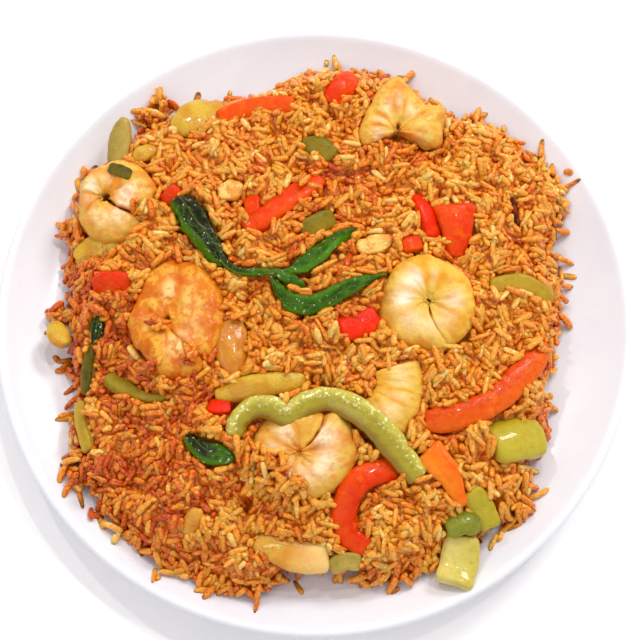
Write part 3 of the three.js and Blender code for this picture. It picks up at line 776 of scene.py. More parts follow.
# %% Green pepper strips
GREEN_STRIPS = [
    ("herb_on_shrimp", 4.6, 1.4, (6, 6), 0, "blunt",
     [(-79, 54.4, 10.2), (-75, 53, 10.5), (-70.5, 51, 10.3)]),
    ("pepper_green_long", 8.8, 4.6, (28, 8), 0.7, "club",
     [(-28.3, -53, 0.6), (-27, -47.5, 2.8), (-22, -43.3, 4.4), (-16, -43.2, 5), (-9.5, -46.2, 4.8),
      (-4, -42, 5.6), (4, -39.3, 6.2), (12.2, -42, 6.4), (20.6, -48, 5.6), (29.8, -57.2, 3.6),
      (37.5, -66.8, 1.8)]),
    ("pepper_green_chunk", 17, 5, (-8, -8), 2.6, "blunt",
     [(65.5, -53, -0.2), (75, -49.5, 1.8), (84.5, -46.5, -0.2)]),
    ("pepper_green_right", 6.8, 4.2, (20, 20), 0.5, "blunt",
     [(66, 7, -0.6), (78, 9, 1.1), (90, 4, -0.4)]),
    ("pepper_green_fold", 9, 3.6, (-14, -14), 1.6, "blunt",
     [(47.5, -83, 1), (54.5, -81, 2.4), (60, -82, 1.4)]),
    ("pepper_green_foot", 14.5, 4.2, (4, 4), 1.2, "blunt",
     [(54, -85.5, 0.2), (52.5, -96, 0.8), (50, -103, 1.6)]),
    ("pepper_green_side", 9, 4, (10, 10), 0.6, "blunt",
     [(56.5, -70, -0.4), (61, -75.5, 0.2), (64.5, -82.5, -0.8)]),
    ("pepper_green_tip", 9.5, 3.8, (-12, -12), 0.8, "spike",
     [(-78, 61, -1), (-77, 70, 2), (-75, 79, 4.6)]),
    ("pepper_green_edge_upper", 4.5, 3.8, (30, 30), 0, "blunt",
     [(-84, -15, -0.2), (-85, -24, 0.5), (-85, -33, -0.2)]),
    ("pepper_green_edge_lower", 5.5, 3.4, (38, 38), 0.3, "blunt",
     [(-88, -35.5, 0.2), (-86.5, -45, 0.6), (-83.5, -54.5, -0.2)]),
    ("pepper_olive_left", 8, 3.8, (-25, -25), 0.7, "wedge",
     [(-77, -26, -0.2), (-69, -33, 0.4), (-60, -37, 0.2), (-53, -36, -0.5)]),
    ("pepper_olive_top", 7.5, 3.8, (20, 20), 0.5, "blunt",
     [(-5, 64.5, -0.4), (2, 63.5, 0.6), (7, 57.5, -0.3)]),
    ("pepper_olive_middle", 7.5, 3.6, (24, 24), 0, "blunt",
     [(-5, 25, -0.6), (0, 29, 0.2), (7, 33, -0.4)]),
    ("pepper_green_front", 6.5, 3.8, (15, 15), 0, "blunt",
     [(6, -97.5, -1), (11, -95.5, 0.2), (16.5, -96, -0.6)]),
]
GREEN_FINISH = {
    "pepper_green_long": "long_pepper",
    "pepper_green_foot": "pale_pepper",
    "pepper_green_right": "brown_pepper",
    "pepper_green_fold": "green_pepper",
    "pepper_green_tip": "tip_pepper",
    "pepper_green_front": "tip_pepper",
    "pepper_green_edge_upper": "dark_pepper",
    "pepper_green_edge_lower": "brown_pepper",
    "pepper_olive_left": "olive_pepper",
    "pepper_olive_top": "olive_pepper",
    "pepper_olive_middle": "olive_pepper",
    "herb_on_shrimp": "dark_pepper",
}
toppings += cook_strips(GREEN_STRIPS, GREEN_FINISH, "lime_pepper", "green_pepper")
print("toppings so far:", len(toppings))

# %% [markdown]
# ## Onion, egg and the browned twig
#
# Most onion slices taper to both ends like a crescent, and all let light through. Egg is the
# same slab made lumpy by stronger noise, and the burnt twig is a very thin one.

# %% Onion slices
ONION_SLICES = [
    ("onion_top", 15, 3, (-10, -10), 1.6, "moon",
     [(-56, 75, 0), (-47, 81, 1.4), (-37, 87, 0.2)]),
    ("onion_left", 11, 3, (10, 10), 1, "moon",
     [(-92, 21, -0.4), (-84, 25, 0.7), (-75, 27, -0.2)]),
    ("onion_petal", 12.5, 3, (8, 8), 1.4, "moon",
     [(-28.5, -30, -0.3), (-30.5, -19, 0.9), (-30, -8, -0.2)]),
    ("onion_long", 9.5, 3, (12, 12), 0.8, "moon",
     [(-36, -37, -0.2), (-21, -34.5, 0.9), (-3, -31, 0.2)]),
    ("onion_front", 10.5, 3.6, (4, 10), 1.2, "club",
     [(-21, -87.5, -0.6), (-13, -91.8, 0.6), (-4, -94, 0.9), (5, -94, -0.2)]),
    ("onion_edge", 8.5, 3, (-14, -14), 1, "moon",
     [(-100, -3, -1.2), (-97.5, -8, -0.6), (-94, -13, -0.6)]),
    ("onion_bit", 7, 3, (0, 0), 0.8, "moon",
     [(-71, 62, -0.2), (-67, 64, 0.5), (-62, 65, -0.2)]),
    ("onion_glassy", 7, 3, (0, 0), 0.6, "moon",
     [(-46, -86, -0.4), (-44, -81.5, 0.4), (-42, -77, -0.4)]),
]
ONION_FINISH = {
    "onion_glassy": "clear_onion",
    "onion_front": "clear_onion",
    "onion_petal": "sauced_onion",
}
toppings += cook_strips(ONION_SLICES, ONION_FINISH, "cooked_onion", "onion", 0.5)

# %% Egg and twig
EGG_BITS = [
    ("egg_upper", 8.5, 4, (0, 0), 0, "moon",
     [(-37, 43, -0.2), (-32, 44, 0.6), (-27.5, 46, -0.1)]),
    ("egg_middle", 7.5, 3.8, (0, 0), 0, "moon",
     [(16, 21, -0.4), (22, 20.5, 0.4), (29, 23, -0.3)]),
]
toppings += cook_strips(EGG_BITS, {}, "scrambled_egg", "egg", 0.9)
TWIG = [
    ("twig", 1.6, 1.6, (0, 0), 0, "blunt",
     [(76, 44, 0.8), (77, 38, 1.3), (78, 32.5, 0.8)]),
]
toppings += cook_strips(TWIG, {}, "browned_twig", "browned", 0.3)
print("toppings so far:", len(toppings))

# %% [markdown]
# ## Basil
#
# Basil wilts as soon as it meets hot rice: the blade folds along its midrib, its edges
# curl and it turns a glossy near-black green. The sprig keeps its stem and three leaves,
# and two single leaves lie by themselves. A leaf is a thin slab with waves along it and
# pleats across it, so the same builder serves once more.

# %% Basil leaves
SPRIG = [
    (11.8, 1.0, (10, -20), 2.6, "torn", 1.3,
     [(-51.5, 41.5, 2.0), (-46.5, 33, 4.4), (-41, 25, 4.6), (-36.5, 18, 4.0), (-33.6, 13.6, 3.4)]),
    (2.4, 1.8, (0, 0), 0, "stem", 0,
     [(-35, 17, 3.6), (-32.3, 12.4, 3.0), (-27, 9.4, 2.6), (-19.5, 8.8, 2.4), (-10, 9.2, 2.2)]),
    (7.6, 1.0, (-30, -20), 1.2, "leaf", 0.7,
     [(-11, 9.5, 2.4), (-4.7, 12.9, 3.2), (1.3, 16.9, 3.8), (7.8, 22.7, 3.8), (15.6, 27.6, 2.4)]),
    (4.4, 1.0, (10, 10), 0.8, "leaf", 0.3,
     [(-14.5, 8, 2.8), (-9, 6.2, 3.4), (-3.4, 3.4, 2.8)]),
    (7.6, 1.0, (16, 30), 1.4, "leaf", 1.0,
     [(-16, 7.5, 2.2), (-13, 1.5, 2.8), (-9, -3, 3.2), (-3, -5, 3.6), (3.5, -4, 4.0),
      (10.5, 0.5, 4.0), (17.5, 3.6, 3.6), (27, 8.3, 2.6)]),
]
LONE_LEAVES = {
    "basil_bottom": (8.2, 1.1, (-14, 20), 1.4, "moon", 0.9,
                     [(-46, -51, 1.4), (-40, -56.8, 2.4), (-35, -59.3, 2.8), (-29, -60.3, 1.6)]),
    "basil_edge": (6, 1.1, (0, 0), 1.2, "leaf", 0.3,
                   [(-81.5, -4, 0.5), (-82, -9.5, 1), (-83.5, -15, 0.5)]),
}


PLEATS = {"stem": 0, "torn": 0.16}  # how deep a leaf is pleated, as a share of its width
USUAL_PLEAT = 0.06
LEAF_SQUARE = 0.6  # how square a leaf's section is: 1 is round, 0 is square


def leaf(bm, sizes, seed):
    """One leaf or stem of basil."""
    width, thick, bank, cup, ends, wave, spine = sizes
    pleat = PLEATS.get(ends, USUAL_PLEAT) * width
    return slab(bm, spine, width, thick, bank, cup, ends, wave, LEAF_SQUARE, pleat, seed)


bm = bmesh.new()
for seed, sizes in enumerate(SPRIG):
    leaf(bm, sizes, seed)
wilt(bm, 0.5, 3.0, 4)
toppings.append(settle("basil_sprig_wilted", bm, "basil_leaf", "basil", "basil_sprig"))
for seed, (node, sizes) in enumerate(LONE_LEAVES.items(), 20):
    bm = wilt(leaf(bmesh.new(), sizes, seed), 0.4, 3.0, seed)
    toppings.append(settle(node + "_wilted", bm, "basil_leaf", "basil", node))
print("toppings so far:", len(toppings))

# %% [markdown]
# ## Shrimp
#
# A peeled shrimp curls up as it cooks, because the muscle along its belly shortens more
# than its back. So the body is lofted round a small eye or none. It is thick at the head and
# thinner at the tail, and pinched in a little where two segments meet. The back was often
# scored to clean it, which leaves a groove down the middle. Sculpting each one by hand would
# take long and could not be read here, so a few sizes for each shrimp drive one loft.

# %% Shrimp finish
def shrimp_finish(name, saucy, deep, golden, pale, sauce):
    """Golden all over, with paler bulges between the creases and sauce in them."""
    tree, shader = finish(name, coat_weight=0.12, coat_roughness=0.06, specular_ior_level=0.1,
                          subsurface_weight=0.3, subsurface_scale=0.003,
                          subsurface_radius=(1.0, 0.6, 0.3))
    flesh = mixed(tree, use(tree, BLOTCHES, scale=130.0, cover=0.65), deep, golden)
    flesh = mixed(tree, painted(tree, "pale"), flesh, pale)
    seared = sums(tree, "MULTIPLY", between(tree, painted(tree, "back"), 0.84, 1.0), 0.5)
    splashes = use(tree, BLOTCHES, scale=120.0, cover=0.6)
    spots = sums(tree, "MULTIPLY", use(tree, BLOTCHES, scale=420.0, cover=0.5), splashes)
    spots = sums(tree, "MULTIPLY", spots, saucy)
    lines = sums(tree, "MULTIPLY", use(tree, VEINS, scale=64.0, width=0.05), saucy)
    crease = sums(tree, "MULTIPLY", painted(tree, "crease"), 0.85)
    tint = sums(tree, "MAXIMUM", spots, lines)
    tint = sums(tree, "MAXIMUM", tint, sums(tree, "MAXIMUM", crease, seared))
    feed(tree, shader, base_color=mixed(tree, tint, flesh, sauce))
    feed(tree, shader, roughness=use(tree, WETNESS, scale=260.0, wet=0.16, dull=0.42))
    relief(tree, shader, use(tree, RELIEF, scale=300.0), 0.0008, 0.6)


SHRIMP_COLOURS = {
    "sauced_shrimp": (0.4, (214, 146, 44), (222, 182, 74), (246, 222, 182), (216, 110, 16)),
    "yellow_shrimp": (0.15, (220, 158, 40), (226, 184, 74), (248, 230, 208), (226, 150, 30)),
    "scored_shrimp": (0.7, (206, 112, 14), (226, 166, 52), (242, 208, 136), (206, 90, 0)),
}  # how saucy, then its deep, golden, pale and sauce colours
for name, (saucy, *colours) in SHRIMP_COLOURS.items():
    shrimp_finish(name, saucy, *(paint(*colour) for colour in colours))
print("finishes so far:", len(FINISHES))


# %% Shrimp builder
SHRIMP_STEPS = 130
SHRIMP_SIDES = 36
PINCH = 0.03  # half the width of a crease, as a share of the body's length
CLOSED = 330  # degrees of curl from which head and tail press against each other
SHRIMP_PAINTED = ("back", "along", "crease", "pale")


def folds(seed, segments):
    """Where the creases are: place, depth and slant of each, none of them quite regular."""
    luck = np.random.default_rng(900 + seed)
    count = segments - 1
    places = (np.arange(1, segments) + luck.uniform(-0.22, 0.22, count)) / segments
    depths, slants = luck.uniform(0.3, 1.2, count), luck.uniform(-0.05, 0.05, count)
    return list(zip(places, depths, slants))


def fullness(near_end, shut):
    """How full the body is this near to one of its ends."""
    if shut:
        return max(0.6, (1 - max(0, 1 - near_end * 22) ** 4) ** 0.25)
    return math.sqrt(max(0.02, 1 - max(0, 1 - near_end * 13) ** 2))


def stand(bm, at, turn, stretch, tip, lean):
    """Turn, stretch and tip a shrimp, and set it on the mound."""
    turned = Matrix.Rotation(math.radians(turn), 4, "Z")
    longer = Matrix.Diagonal((1, stretch, 1, 1))
    tipped = Matrix.Rotation(math.radians(tip), 4, "X")
    leaned = Matrix.Rotation(math.radians(lean), 4, "Y")
    spot = Vector((at[0], at[1], float(heap_top(at[0], at[1])) + at[2]))
    whole = Matrix.Translation(spot) @ leaned @ tipped @ longer @ turned
    bmesh.ops.transform(bm, matrix=whole, verts=bm.verts[:])


def shrimp(at, girth, taper, sweep, eye, flat, turn, tip, lean=0, stretch=1.0, score=0.0,
           swell=(1, 1), segments=7, seed=0, whiteness=1.0, swirl=0):
    """A bmesh of one curled shrimp, in millimetres. The sizes are those of its solid, and
    swell says how far it bulges outwards at even steps along it."""
    rings, marks = [], []
    creases = folds(seed, segments)
    whites = whiteness * np.random.default_rng(70 + seed).uniform(0, 1.4, segments).clip(0, 1)
    swells = [Vector((value, 0, 0)) for value in swell]
    shut = abs(sweep) > CLOSED
    for i in range(SHRIMP_STEPS + 1):
        t = i / SHRIMP_STEPS
        near_end = min(t, 1 - t)
        full = fullness(near_end, shut)
        depth = girth / 2 * (1 - (1 - taper) * t**1.3)
        bulge = spline(swells, t).x
        white = whites[min(sum(t > fold for fold, _, _ in creases), segments - 1)]
        ring, mark = [], []
        for k in range(SHRIMP_SIDES):
            around = 2 * math.pi * k / SHRIMP_SIDES
            outer = 0.5 + 0.5 * math.cos(around)
            angle = math.radians(sweep * t + swirl * outer)
            crease, step = 0.0, 0.0
            for fold, deep, slant in creases:
                off = t - fold - slant * math.cos(around + fold * 5)
                crease += deep * math.exp(-((off / PINCH) ** 2))
                step += 0.02 * deep * math.exp(-max(0, off) / 0.06) * (off > 0)
            middle = math.exp(-(((outer - 0.5) / 0.3) ** 2))
            dent = 1 - 0.045 * crease * middle + step * outer
            radial = depth * full * dent
            height = depth * flat * full * dent
            level = math.sin(around)
            if outer < 0.5:  # full on the belly side, so the eye stays a small hole
                level = math.copysign(abs(level) ** (0.2 + 1.6 * outer), level)
            scored = math.exp(-(((outer - 0.66) / 0.05) ** 2)) * (level > 0)
            scored *= 0.5 + 0.5 * math.sin(t * 19 + seed)
            outward = radial * math.cos(around)
            outward *= bulge if outward > 0 else 1.0
            r = max(0.05, eye + depth * (0.5 + 0.5 * bulge) + outward)
            lump = noise.noise(Vector((math.radians(sweep) * t * 3, around * 1.3, seed * 5.1)))
            rise = height * level * (1 + 0.10 * lump) - score * scored * full
            ring.append(Vector((r * math.cos(angle), r * math.sin(angle), rise)))
            sauce = 0.8 * crease * middle + score * scored
            if shut:
                sauce += 0.8 * math.exp(-((near_end / 0.012) ** 2))
            pale = white * math.exp(-(((outer - 0.5) / 0.2) ** 2)) * max(0, 1 - 1.1 * crease)
            mark.append((outer, t, min(1, sauce), pale))
        rings.append(ring)
        marks.append(mark)
    bm = bmesh.new()
    loft_painted(bm, rings, marks, SHRIMP_PAINTED)
    stand(bm, at, turn, stretch, tip, lean)
    wilt(bm, 0.9, 7.0, seed)
    return wilt(bm, 0.35, 2.2, seed)


print("shrimp builder ready")

# %% The six shrimp
SHRIMPS = {
    "shrimp_right": dict(at=(42.0, -1.1, 1.8), girth=19.2, taper=0.88, sweep=-368, eye=0,
                         flat=0.78, turn=-82, tip=6, stretch=1.06, skin="yellow_shrimp",
                         swirl=20, segments=8,
                         swell=(1.0, 0.97, 0.99, 0.93, 0.96, 0.9, 1.01, 1.08, 1.1)),
    "shrimp_left": dict(at=(-55, -9.5, 1.6), girth=17, taper=0.9, sweep=-366, eye=0,
                        flat=0.72, turn=-48, tip=-6, lean=-6, stretch=1.25, score=0.5,
                        swirl=12,
                        swell=(1.3, 1.08, 0.68, 0.8, 0.85, 1.42, 1.58, 1.54, 1.35),
                        skin="scored_shrimp"),
    "shrimp_upper_left": dict(at=(-80.5, 44, 1.4), girth=15.5, taper=0.9, sweep=-355, eye=0,
                              flat=0.86, turn=-44, tip=6, lean=-6, skin="sauced_shrimp",
                              swirl=12, whiteness=1.2,
                              swell=(1.42, 1.32, 1.0, 0.64, 0.65, 0.82, 1.25, 1.5, 1.4)),
    "shrimp_front": dict(at=(-5.5, -57.5, 1.2), girth=19.4, taper=0.86, sweep=-362, eye=0,
                         flat=0.74, turn=34, tip=10, skin="sauced_shrimp",
                         swirl=22, whiteness=1.3,
                         swell=(1.1, 1.15, 1.0, 0.95, 1.0, 1.05, 0.95, 1.0, 1.05)),
    "shrimp_back": dict(at=(32, 69, 2.4), girth=19, taper=0.8, sweep=240, eye=1,
                        flat=0.56, turn=-30, tip=5, lean=4, skin="sauced_shrimp",
                        whiteness=0.6,
                        swell=(0.69, 0.86, 0.89, 1.12, 0.74, 0.97, 1.38, 1.07, 0.86, 0.80,
                               0.78, 0.82, 0.98)),
    "shrimp_centre": dict(at=(13.5, -31.5, -2.4), girth=19, taper=0.95, sweep=88, eye=8.5,
                          flat=0.7, turn=-66, tip=4, lean=2, segments=3, skin="yellow_shrimp",
                          whiteness=0.3),
}
for seed, (node, sizes) in enumerate(SHRIMPS.items(), 1):
    skin = sizes.pop("skin")
    toppings.append(settle(node + "_cooked", shrimp(seed=seed, **sizes), skin, "shrimp", node))
print("toppings in all:", len(toppings))

# %% [markdown]
# ## The rice: its colour and its surface
#
# Every grain took up sauce and oil, some more than others, so the rice runs from red-brown
# to nearly white. One material serves all the grains: each point of a grain carries a tone,
# which also holds painted shade, and a ramp of five colours turns the tone into a colour. A
# function gives the surface that the grains should reach: the mound itself, and a steep side
# down to the dish at its edge.

# %% Rice finish
WARM = (1.0, 0.45, 0.18)  # how far red, green and blue light travel inside a grain
tree, shader = finish("sauced_rice", coat_weight=0.5, coat_roughness=0.06,
                      specular_ior_level=0.2, subsurface_weight=0.65,
                      subsurface_scale=0.003, subsurface_radius=WARM)
fine = put(tree, "ShaderNodeTexNoise", {"Vector": place(tree), "Scale": 1000.0, "Detail": 3.0})
shift = sums(tree, "MULTIPLY", sums(tree, "SUBTRACT", fine.outputs["Fac"], 0.5), 1.4)
tone = sums(tree, "ADD", painted(tree, "tone"), shift, clamp=True)
colours = ramp(
    tree,
    tone,
    [
        (0.0, paint(176, 56, 0)),
        (0.25, paint(212, 98, 4)),
        (0.5, paint(228, 142, 28)),
        (0.75, paint(236, 165, 56)),
        (1.0, paint(246, 199, 116)),
    ],
)
feed(tree, shader, base_color=colours)
feed(tree, shader, roughness=use(tree, WETNESS, scale=500.0, wet=0.18, dull=0.5))
relief(tree, shader, use(tree, RELIEF, scale=1000.0), 0.0003, 0.6)
print("rice finish ready")

# %% Surface of the rice
SLOPE = 0.90  # where the heap's side starts to fall to the dish, as a share of its reach
LAST_GRAINS = 2.2  # height of the heap above the dish at its very edge


def rice_surface(x, y):
    """Height that the loose grains should reach."""
    share = heap_share(x, y)
    fall = np.clip((share - SLOPE) / (1 - SLOPE), 0, 1)
    eased = fall**1.4
    low = dish_height(np.hypot(x, y)) + LAST_GRAINS
    return heap_top(x, y) * (1 - eased) + low * eased


print("height of the edge:", round(float(rice_surface(HEAP_RADII[0], 0.0)), 1), "mm")

# %% [markdown]
# ## Loose grains
#
# Real rice gets its look from how it piles up: each grain drops, tips until both of its
# ends rest on something, and leaves dark gaps beside it. A physics run of so many grains
# would take too long, so the next cells do the same on a height map of the plate. The map
# starts as the dish, a bed some way below the surface of the rice, and the toppings. Each
# grain is set down where the heap is lowest of a few random spots, and its own top is added
# to the map for the next one.

# %% Height map of what the grains fall on
CELL = 0.5
HALF = 121.0  # half the side of the map
BED_DEPTH = 7.0  # how far below the surface of the rice the grains start
BED_SHARE = 0.95  # how far out that bed goes, as a share of the heap's reach
DELICATE = ("basil", "egg", "herb", "bit", "twig")
KEEP_OFF, KEEP_OFF_DELICATE = 1.0, 4.0  # how strongly grains are kept off a topping
axis = np.arange(-HALF, HALF + CELL / 2, CELL)
grid_x, grid_y = np.meshgrid(axis, axis, indexing="ij")
height = dish_height(np.hypot(grid_x, grid_y))
target = rice_surface(grid_x, grid_y)
share_map = heap_share(grid_x, grid_y)
inside = share_map < BED_SHARE
height[inside] = np.maximum(height, target - BED_DEPTH)[inside]
topping_height = np.full_like(height, -1.0)
guard = np.zeros_like(height)  # how much a grain is kept off what lies there
for piece in toppings:
    delicate = any(word in piece.name for word in DELICATE)
    keep_off = KEEP_OFF_DELICATE if delicate else KEEP_OFF
    points = np.empty(len(piece.data.vertices) * 3)
    piece.data.vertices.foreach_get("co", points)
    points = points.reshape(-1, 3) / MM
    faces = [tuple(face.vertices) for face in piece.data.polygons]
    tree = BVHTree.FromPolygons([Vector(point) for point in points], faces)
    low, high = points.min(0), points.max(0)
    span_x = np.nonzero((axis >= low[0]) & (axis <= high[0]))[0]
    span_y = np.nonzero((axis >= low[1]) & (axis <= high[1]))[0]
    for i in span_x:
        for j in span_y:
            hit = tree.ray_cast(Vector((axis[i], axis[j], 90)), Vector((0, 0, -1)))[0]
            if hit is not None:
                topping_height[i, j] = max(topping_height[i, j], hit.z)
                guard[i, j] = max(guard[i, j], keep_off)
covered = topping_height > height
height[covered] = topping_height[covered]
guard[~covered] = 0
print("share of the heap under toppings:", round(float(covered[inside].mean()), 3))

# %% Where grains cling, and a lumpy target
CLINGING = [(-56, -10, 5, 14), (-46, -23, 5, 24), (-60, -27, 5, 16), (-14, -66, 8, 50),
            (-20, -60, 5, 24), (-7, -71, 5, 24), (-67, 38, 5, 14), (31, 60, 8, 30),
            (55, 33, 3, 3), (-3, 46, 4, 4), (84, -14, 4, 6), (-93, 31, 5, 24),
            (-79, 43, 2, 4)]  # places on top of shrimp and peppers: x, y, reach and tries
BANKING = 4.0  # how high the grains bank up, for the share of toppings round about
MOST_BESIDE = 0.5  # the largest share that counts
BANK_REACH = 3.0  # how far round about
LUMPINESS = 3.6  # how strongly grains stick together in lumps
for x, y, reach, _ in CLINGING:
    guard[np.hypot(grid_x - x, grid_y - y) < reach] = 0


def blurred(field, reach):
    """A map blurred over a distance in millimetres."""
    waves = np.fft.fftfreq(len(axis), CELL)
    soft = np.exp(-2 * (np.pi * reach * waves) ** 2)
    return np.fft.ifft2(np.fft.fft2(field) * soft[:, None] * soft[None, :]).real


beside = np.clip(blurred(covered.astype(float), BANK_REACH), 0, MOST_BESIDE)
lumps = [noise.fractal(Vector((x / 9, y / 9, 3.1)), 0.7, 2.0, 3) for x in axis for y in axis]
lumps = np.array(lumps).reshape(height.shape)
to_edge = np.clip((0.97 - share_map) / 0.1, 0, 1)  # the lumps fade out at the edge
target = target + BANKING * beside + LUMPINESS * lumps * to_edge
print("highest lump, mm:", round(float((LUMPINESS * lumps * to_edge).max()), 1))


# %% How a grain comes to rest
RUN = np.linspace(-0.47, 0.47, 11)  # places along a grain, as a share of its length
BLUNT = 4.2  # how blunt a grain's ends are: 2 is an ellipse
PROFILE = np.sqrt(1 - np.abs(2 * RUN) ** BLUNT)  # its half width there, as a share
STICK = 1.4  # how far soft grains press into what they rest on
ACROSS = np.array([-0.65, 0.0, 0.65])  # places across a grain, as a share of half its width
MIDDLE = len(RUN) // 2
LEFT, RIGHT = slice(0, MIDDLE + 1), slice(MIDDLE, len(RUN))
STEEPEST = math.tan(math.radians(50))
LEANS = [0.08, 0.3, 0.7, 0.92]  # how far a grain that rocks on its middle tips over
random = np.random.default_rng(4107)


def to_cell(value):
    """The index of a height-map cell."""
    return np.clip(((np.asarray(value) + HALF) / CELL + 0.5).astype(int), 0, len(axis) - 1)


def rest(x, y, turn, length, width, thick):
    """Height and slope at which a grain comes to rest, and its share on toppings."""
    along = RUN * length
    aside = ACROSS[:, None] * PROFILE * width / 2
    px = x + along * math.cos(turn) - aside * math.sin(turn)
    py = y + along * math.sin(turn) + aside * math.cos(turn)
    ix, iy = to_cell(px), to_cell(py)
    lift = PROFILE * thick / 2 * np.sqrt(1 - ACROSS[:, None] ** 2)
    need = (height[ix, iy] + lift).max(0) - STICK
    on_topping = float(guard[ix, iy].mean())
    left, right = along[LEFT][:, None], along[RIGHT][None, :]
    span = right - left
    span[span == 0] = np.inf
    chord = (need[LEFT][:, None] * right - need[RIGHT][None, :] * left) / span
    i, j = np.unravel_index(np.argmax(chord), chord.shape)
    middle = need[MIDDLE]
    if chord[i, j] > middle + 1e-6:
        slope = (need[RIGHT][j] - need[LEFT][i]) / span[i, j]
    else:
        rising = ((need[MIDDLE + 1 :] - middle) / along[MIDDLE + 1 :]).max()
        falling = ((middle - need[:MIDDLE]) / -along[:MIDDLE]).min()
        slope = rising + (falling - rising) * random.choice(LEANS)
    slope = float(np.clip(slope, -STEEPEST, STEEPEST))
    level = float((need - slope * along).max())
    return level, slope, on_topping


def add_to_map(x, y, turn, length, width, thick, level, slope):
    """Raise the height map by a grain's top."""
    reach_cells = int(length / 2 / CELL) + 2
    ci, cj = int((x + HALF) / CELL + 0.5), int((y + HALF) / CELL + 0.5)
    i0, i1 = max(ci - reach_cells, 0), min(ci + reach_cells + 1, len(axis))
    j0, j1 = max(cj - reach_cells, 0), min(cj + reach_cells + 1, len(axis))
    dx, dy = grid_x[i0:i1, j0:j1] - x, grid_y[i0:i1, j0:j1] - y
    flat = 1 / math.sqrt(1 + slope * slope)
    along = (dx * math.cos(turn) + dy * math.sin(turn)) / flat
    aside = -dx * math.sin(turn) + dy * math.cos(turn)
    shape = 1 - np.abs(2 * along / length) ** BLUNT
    under = np.clip(shape, 0, 1) * (width / 2) ** 2 - aside**2
    top = level + slope * along * flat + np.sqrt(np.clip(under, 0, None)) * thick / width
    hit = (shape > 0) & (under > 0)
    window = height[i0:i1, j0:j1]
    window[hit] = np.maximum(window, top)[hit]


print("resting ready, steepest slope:", round(STEEPEST, 2))

# %% Drop one grain
LENGTH = (7.4, 1.0)  # a whole grain's mean length, and how much it varies
SHORTEST, LONGEST = 5.2, 9.8
BROKEN = 0.26  # share of the grains that are broken
BROKEN_LENGTH = (2.6, 4.8)
WIDTH = (2.1, 2.95)
FLATNESS = (0.78, 0.92)  # thickness as a share of the width
PUSHED_IN = 0.4  # share of the grains that are pushed in at one end
PUSHED_SLOPE = (0.15, 0.55)
PUSHED_DOWN = 0.2
HIDES_LITTLE, HIDES_SOME = 0.12, 0.4  # shares of a grain that hide a topping
SOME_ALLOWED = 0.3  # share of the grains that may hide some
grains = []


def gap_ok(guarded, luck):
    """Whether a grain may lie where it hides this much of a topping."""
    return guarded < HIDES_LITTLE or (guarded < HIDES_SOME and luck < SOME_ALLOWED)


def drop(x, y, turns, over):
    """Drop one grain, the way round that nests lowest. It is refused where it would stand
    too proud or hide a topping."""
    length = float(np.clip(random.normal(*LENGTH), SHORTEST, LONGEST))
    if random.random() < BROKEN:
        length = float(random.uniform(*BROKEN_LENGTH))
    width = float(random.uniform(*WIDTH))
    thick = width * float(random.uniform(*FLATNESS))
    rests = [(*rest(x, y, turn, length, width, thick), turn) for turn in turns]
    level, slope, on_topping, turn = min(rests)
    if not gap_ok(on_topping, random.random()) or level > over:
        return False
    if random.random() < PUSHED_IN:
        slope = slope + random.choice([-1, 1]) * float(random.uniform(*PUSHED_SLOPE))
        level -= PUSHED_DOWN
    grains.append((x, y, level, turn, slope, length, width, thick))
    add_to_map(x, y, turn, length, width, thick, level, slope)
    return True


print("grains so far:", len(grains))

# %% Fill the heap
TRIES = 30000
PROUD = 0.4  # how far the middle of a grain may rest above the target
EDGE = 0.985  # how far out the heap's own grains lie, as a share of its reach
PICKS = 5  # random spots that each grain chooses from
open_cells = np.argwhere((share_map < EDGE) & (guard == 0))
for _ in range(TRIES):
    picks = open_cells[random.integers(0, len(open_cells), PICKS)]
    depth = target[picks[:, 0], picks[:, 1]] - height[picks[:, 0], picks[:, 1]]
    i, j = picks[np.argmax(depth)]
    x, y = axis[i] + random.uniform(-0.25, 0.25), axis[j] + random.uniform(-0.25, 0.25)
    drop(x, y, random.uniform(0, 2 * math.pi, 2), target[i, j] + PROUD)
print("grains in the heap:", len(grains))

# %% Strays round the edge, spills and clinging grains
STRAYS = 91
STRAY_RING = (0.985, 1.035)  # where the strays lie, as a share of the heap's reach
STRAY_TOP = 5  # how far above the dish a stray may rest
SPILL_TOP, PILE_TOP = 3, 5  # and a spilled grain above what lies there, and above the target
SPILLS = [(-97, 1, 5, 90), (-98, -10, 4, 60), (-92, -18, 5, 60), (-94, 34, 5, 70),
          (-62, 90, 4, 24), (-66, 84, 4, 30), (-80, -60, 7, 40), (73, -73, 6, 110),
          (-88, -60, 5, 60)]  # where rice slid towards the rim: x, y, reach and tries
strays = 0
while strays < STRAYS:
    turn = random.uniform(0, 2 * math.pi)
    r = heap_radius(np.array(turn)) * random.uniform(*STRAY_RING)
    x, y = float(r * math.cos(turn)), float(r * math.sin(turn))
    strays += drop(x, y, [turn + random.normal(0, 0.9)], float(dish_height(r)) + STRAY_TOP)
for at_x, at_y, reach, count in SPILLS + CLINGING:
    for _ in range(count):
        x, y = at_x + random.normal(0, reach / 2), at_y + random.normal(0, reach / 2)
        cell = to_cell(x), to_cell(y)
        piled = float(max(target[cell], topping_height[cell])) + PILE_TOP
        drop(x, y, random.uniform(0, 2 * math.pi, 2), min(float(height[cell]) + SPILL_TOP, piled))
above = (height - target)[inside & ~covered].mean()
print("grains:", len(grains), "and their mean surface above the target, mm:", round(above, 2))
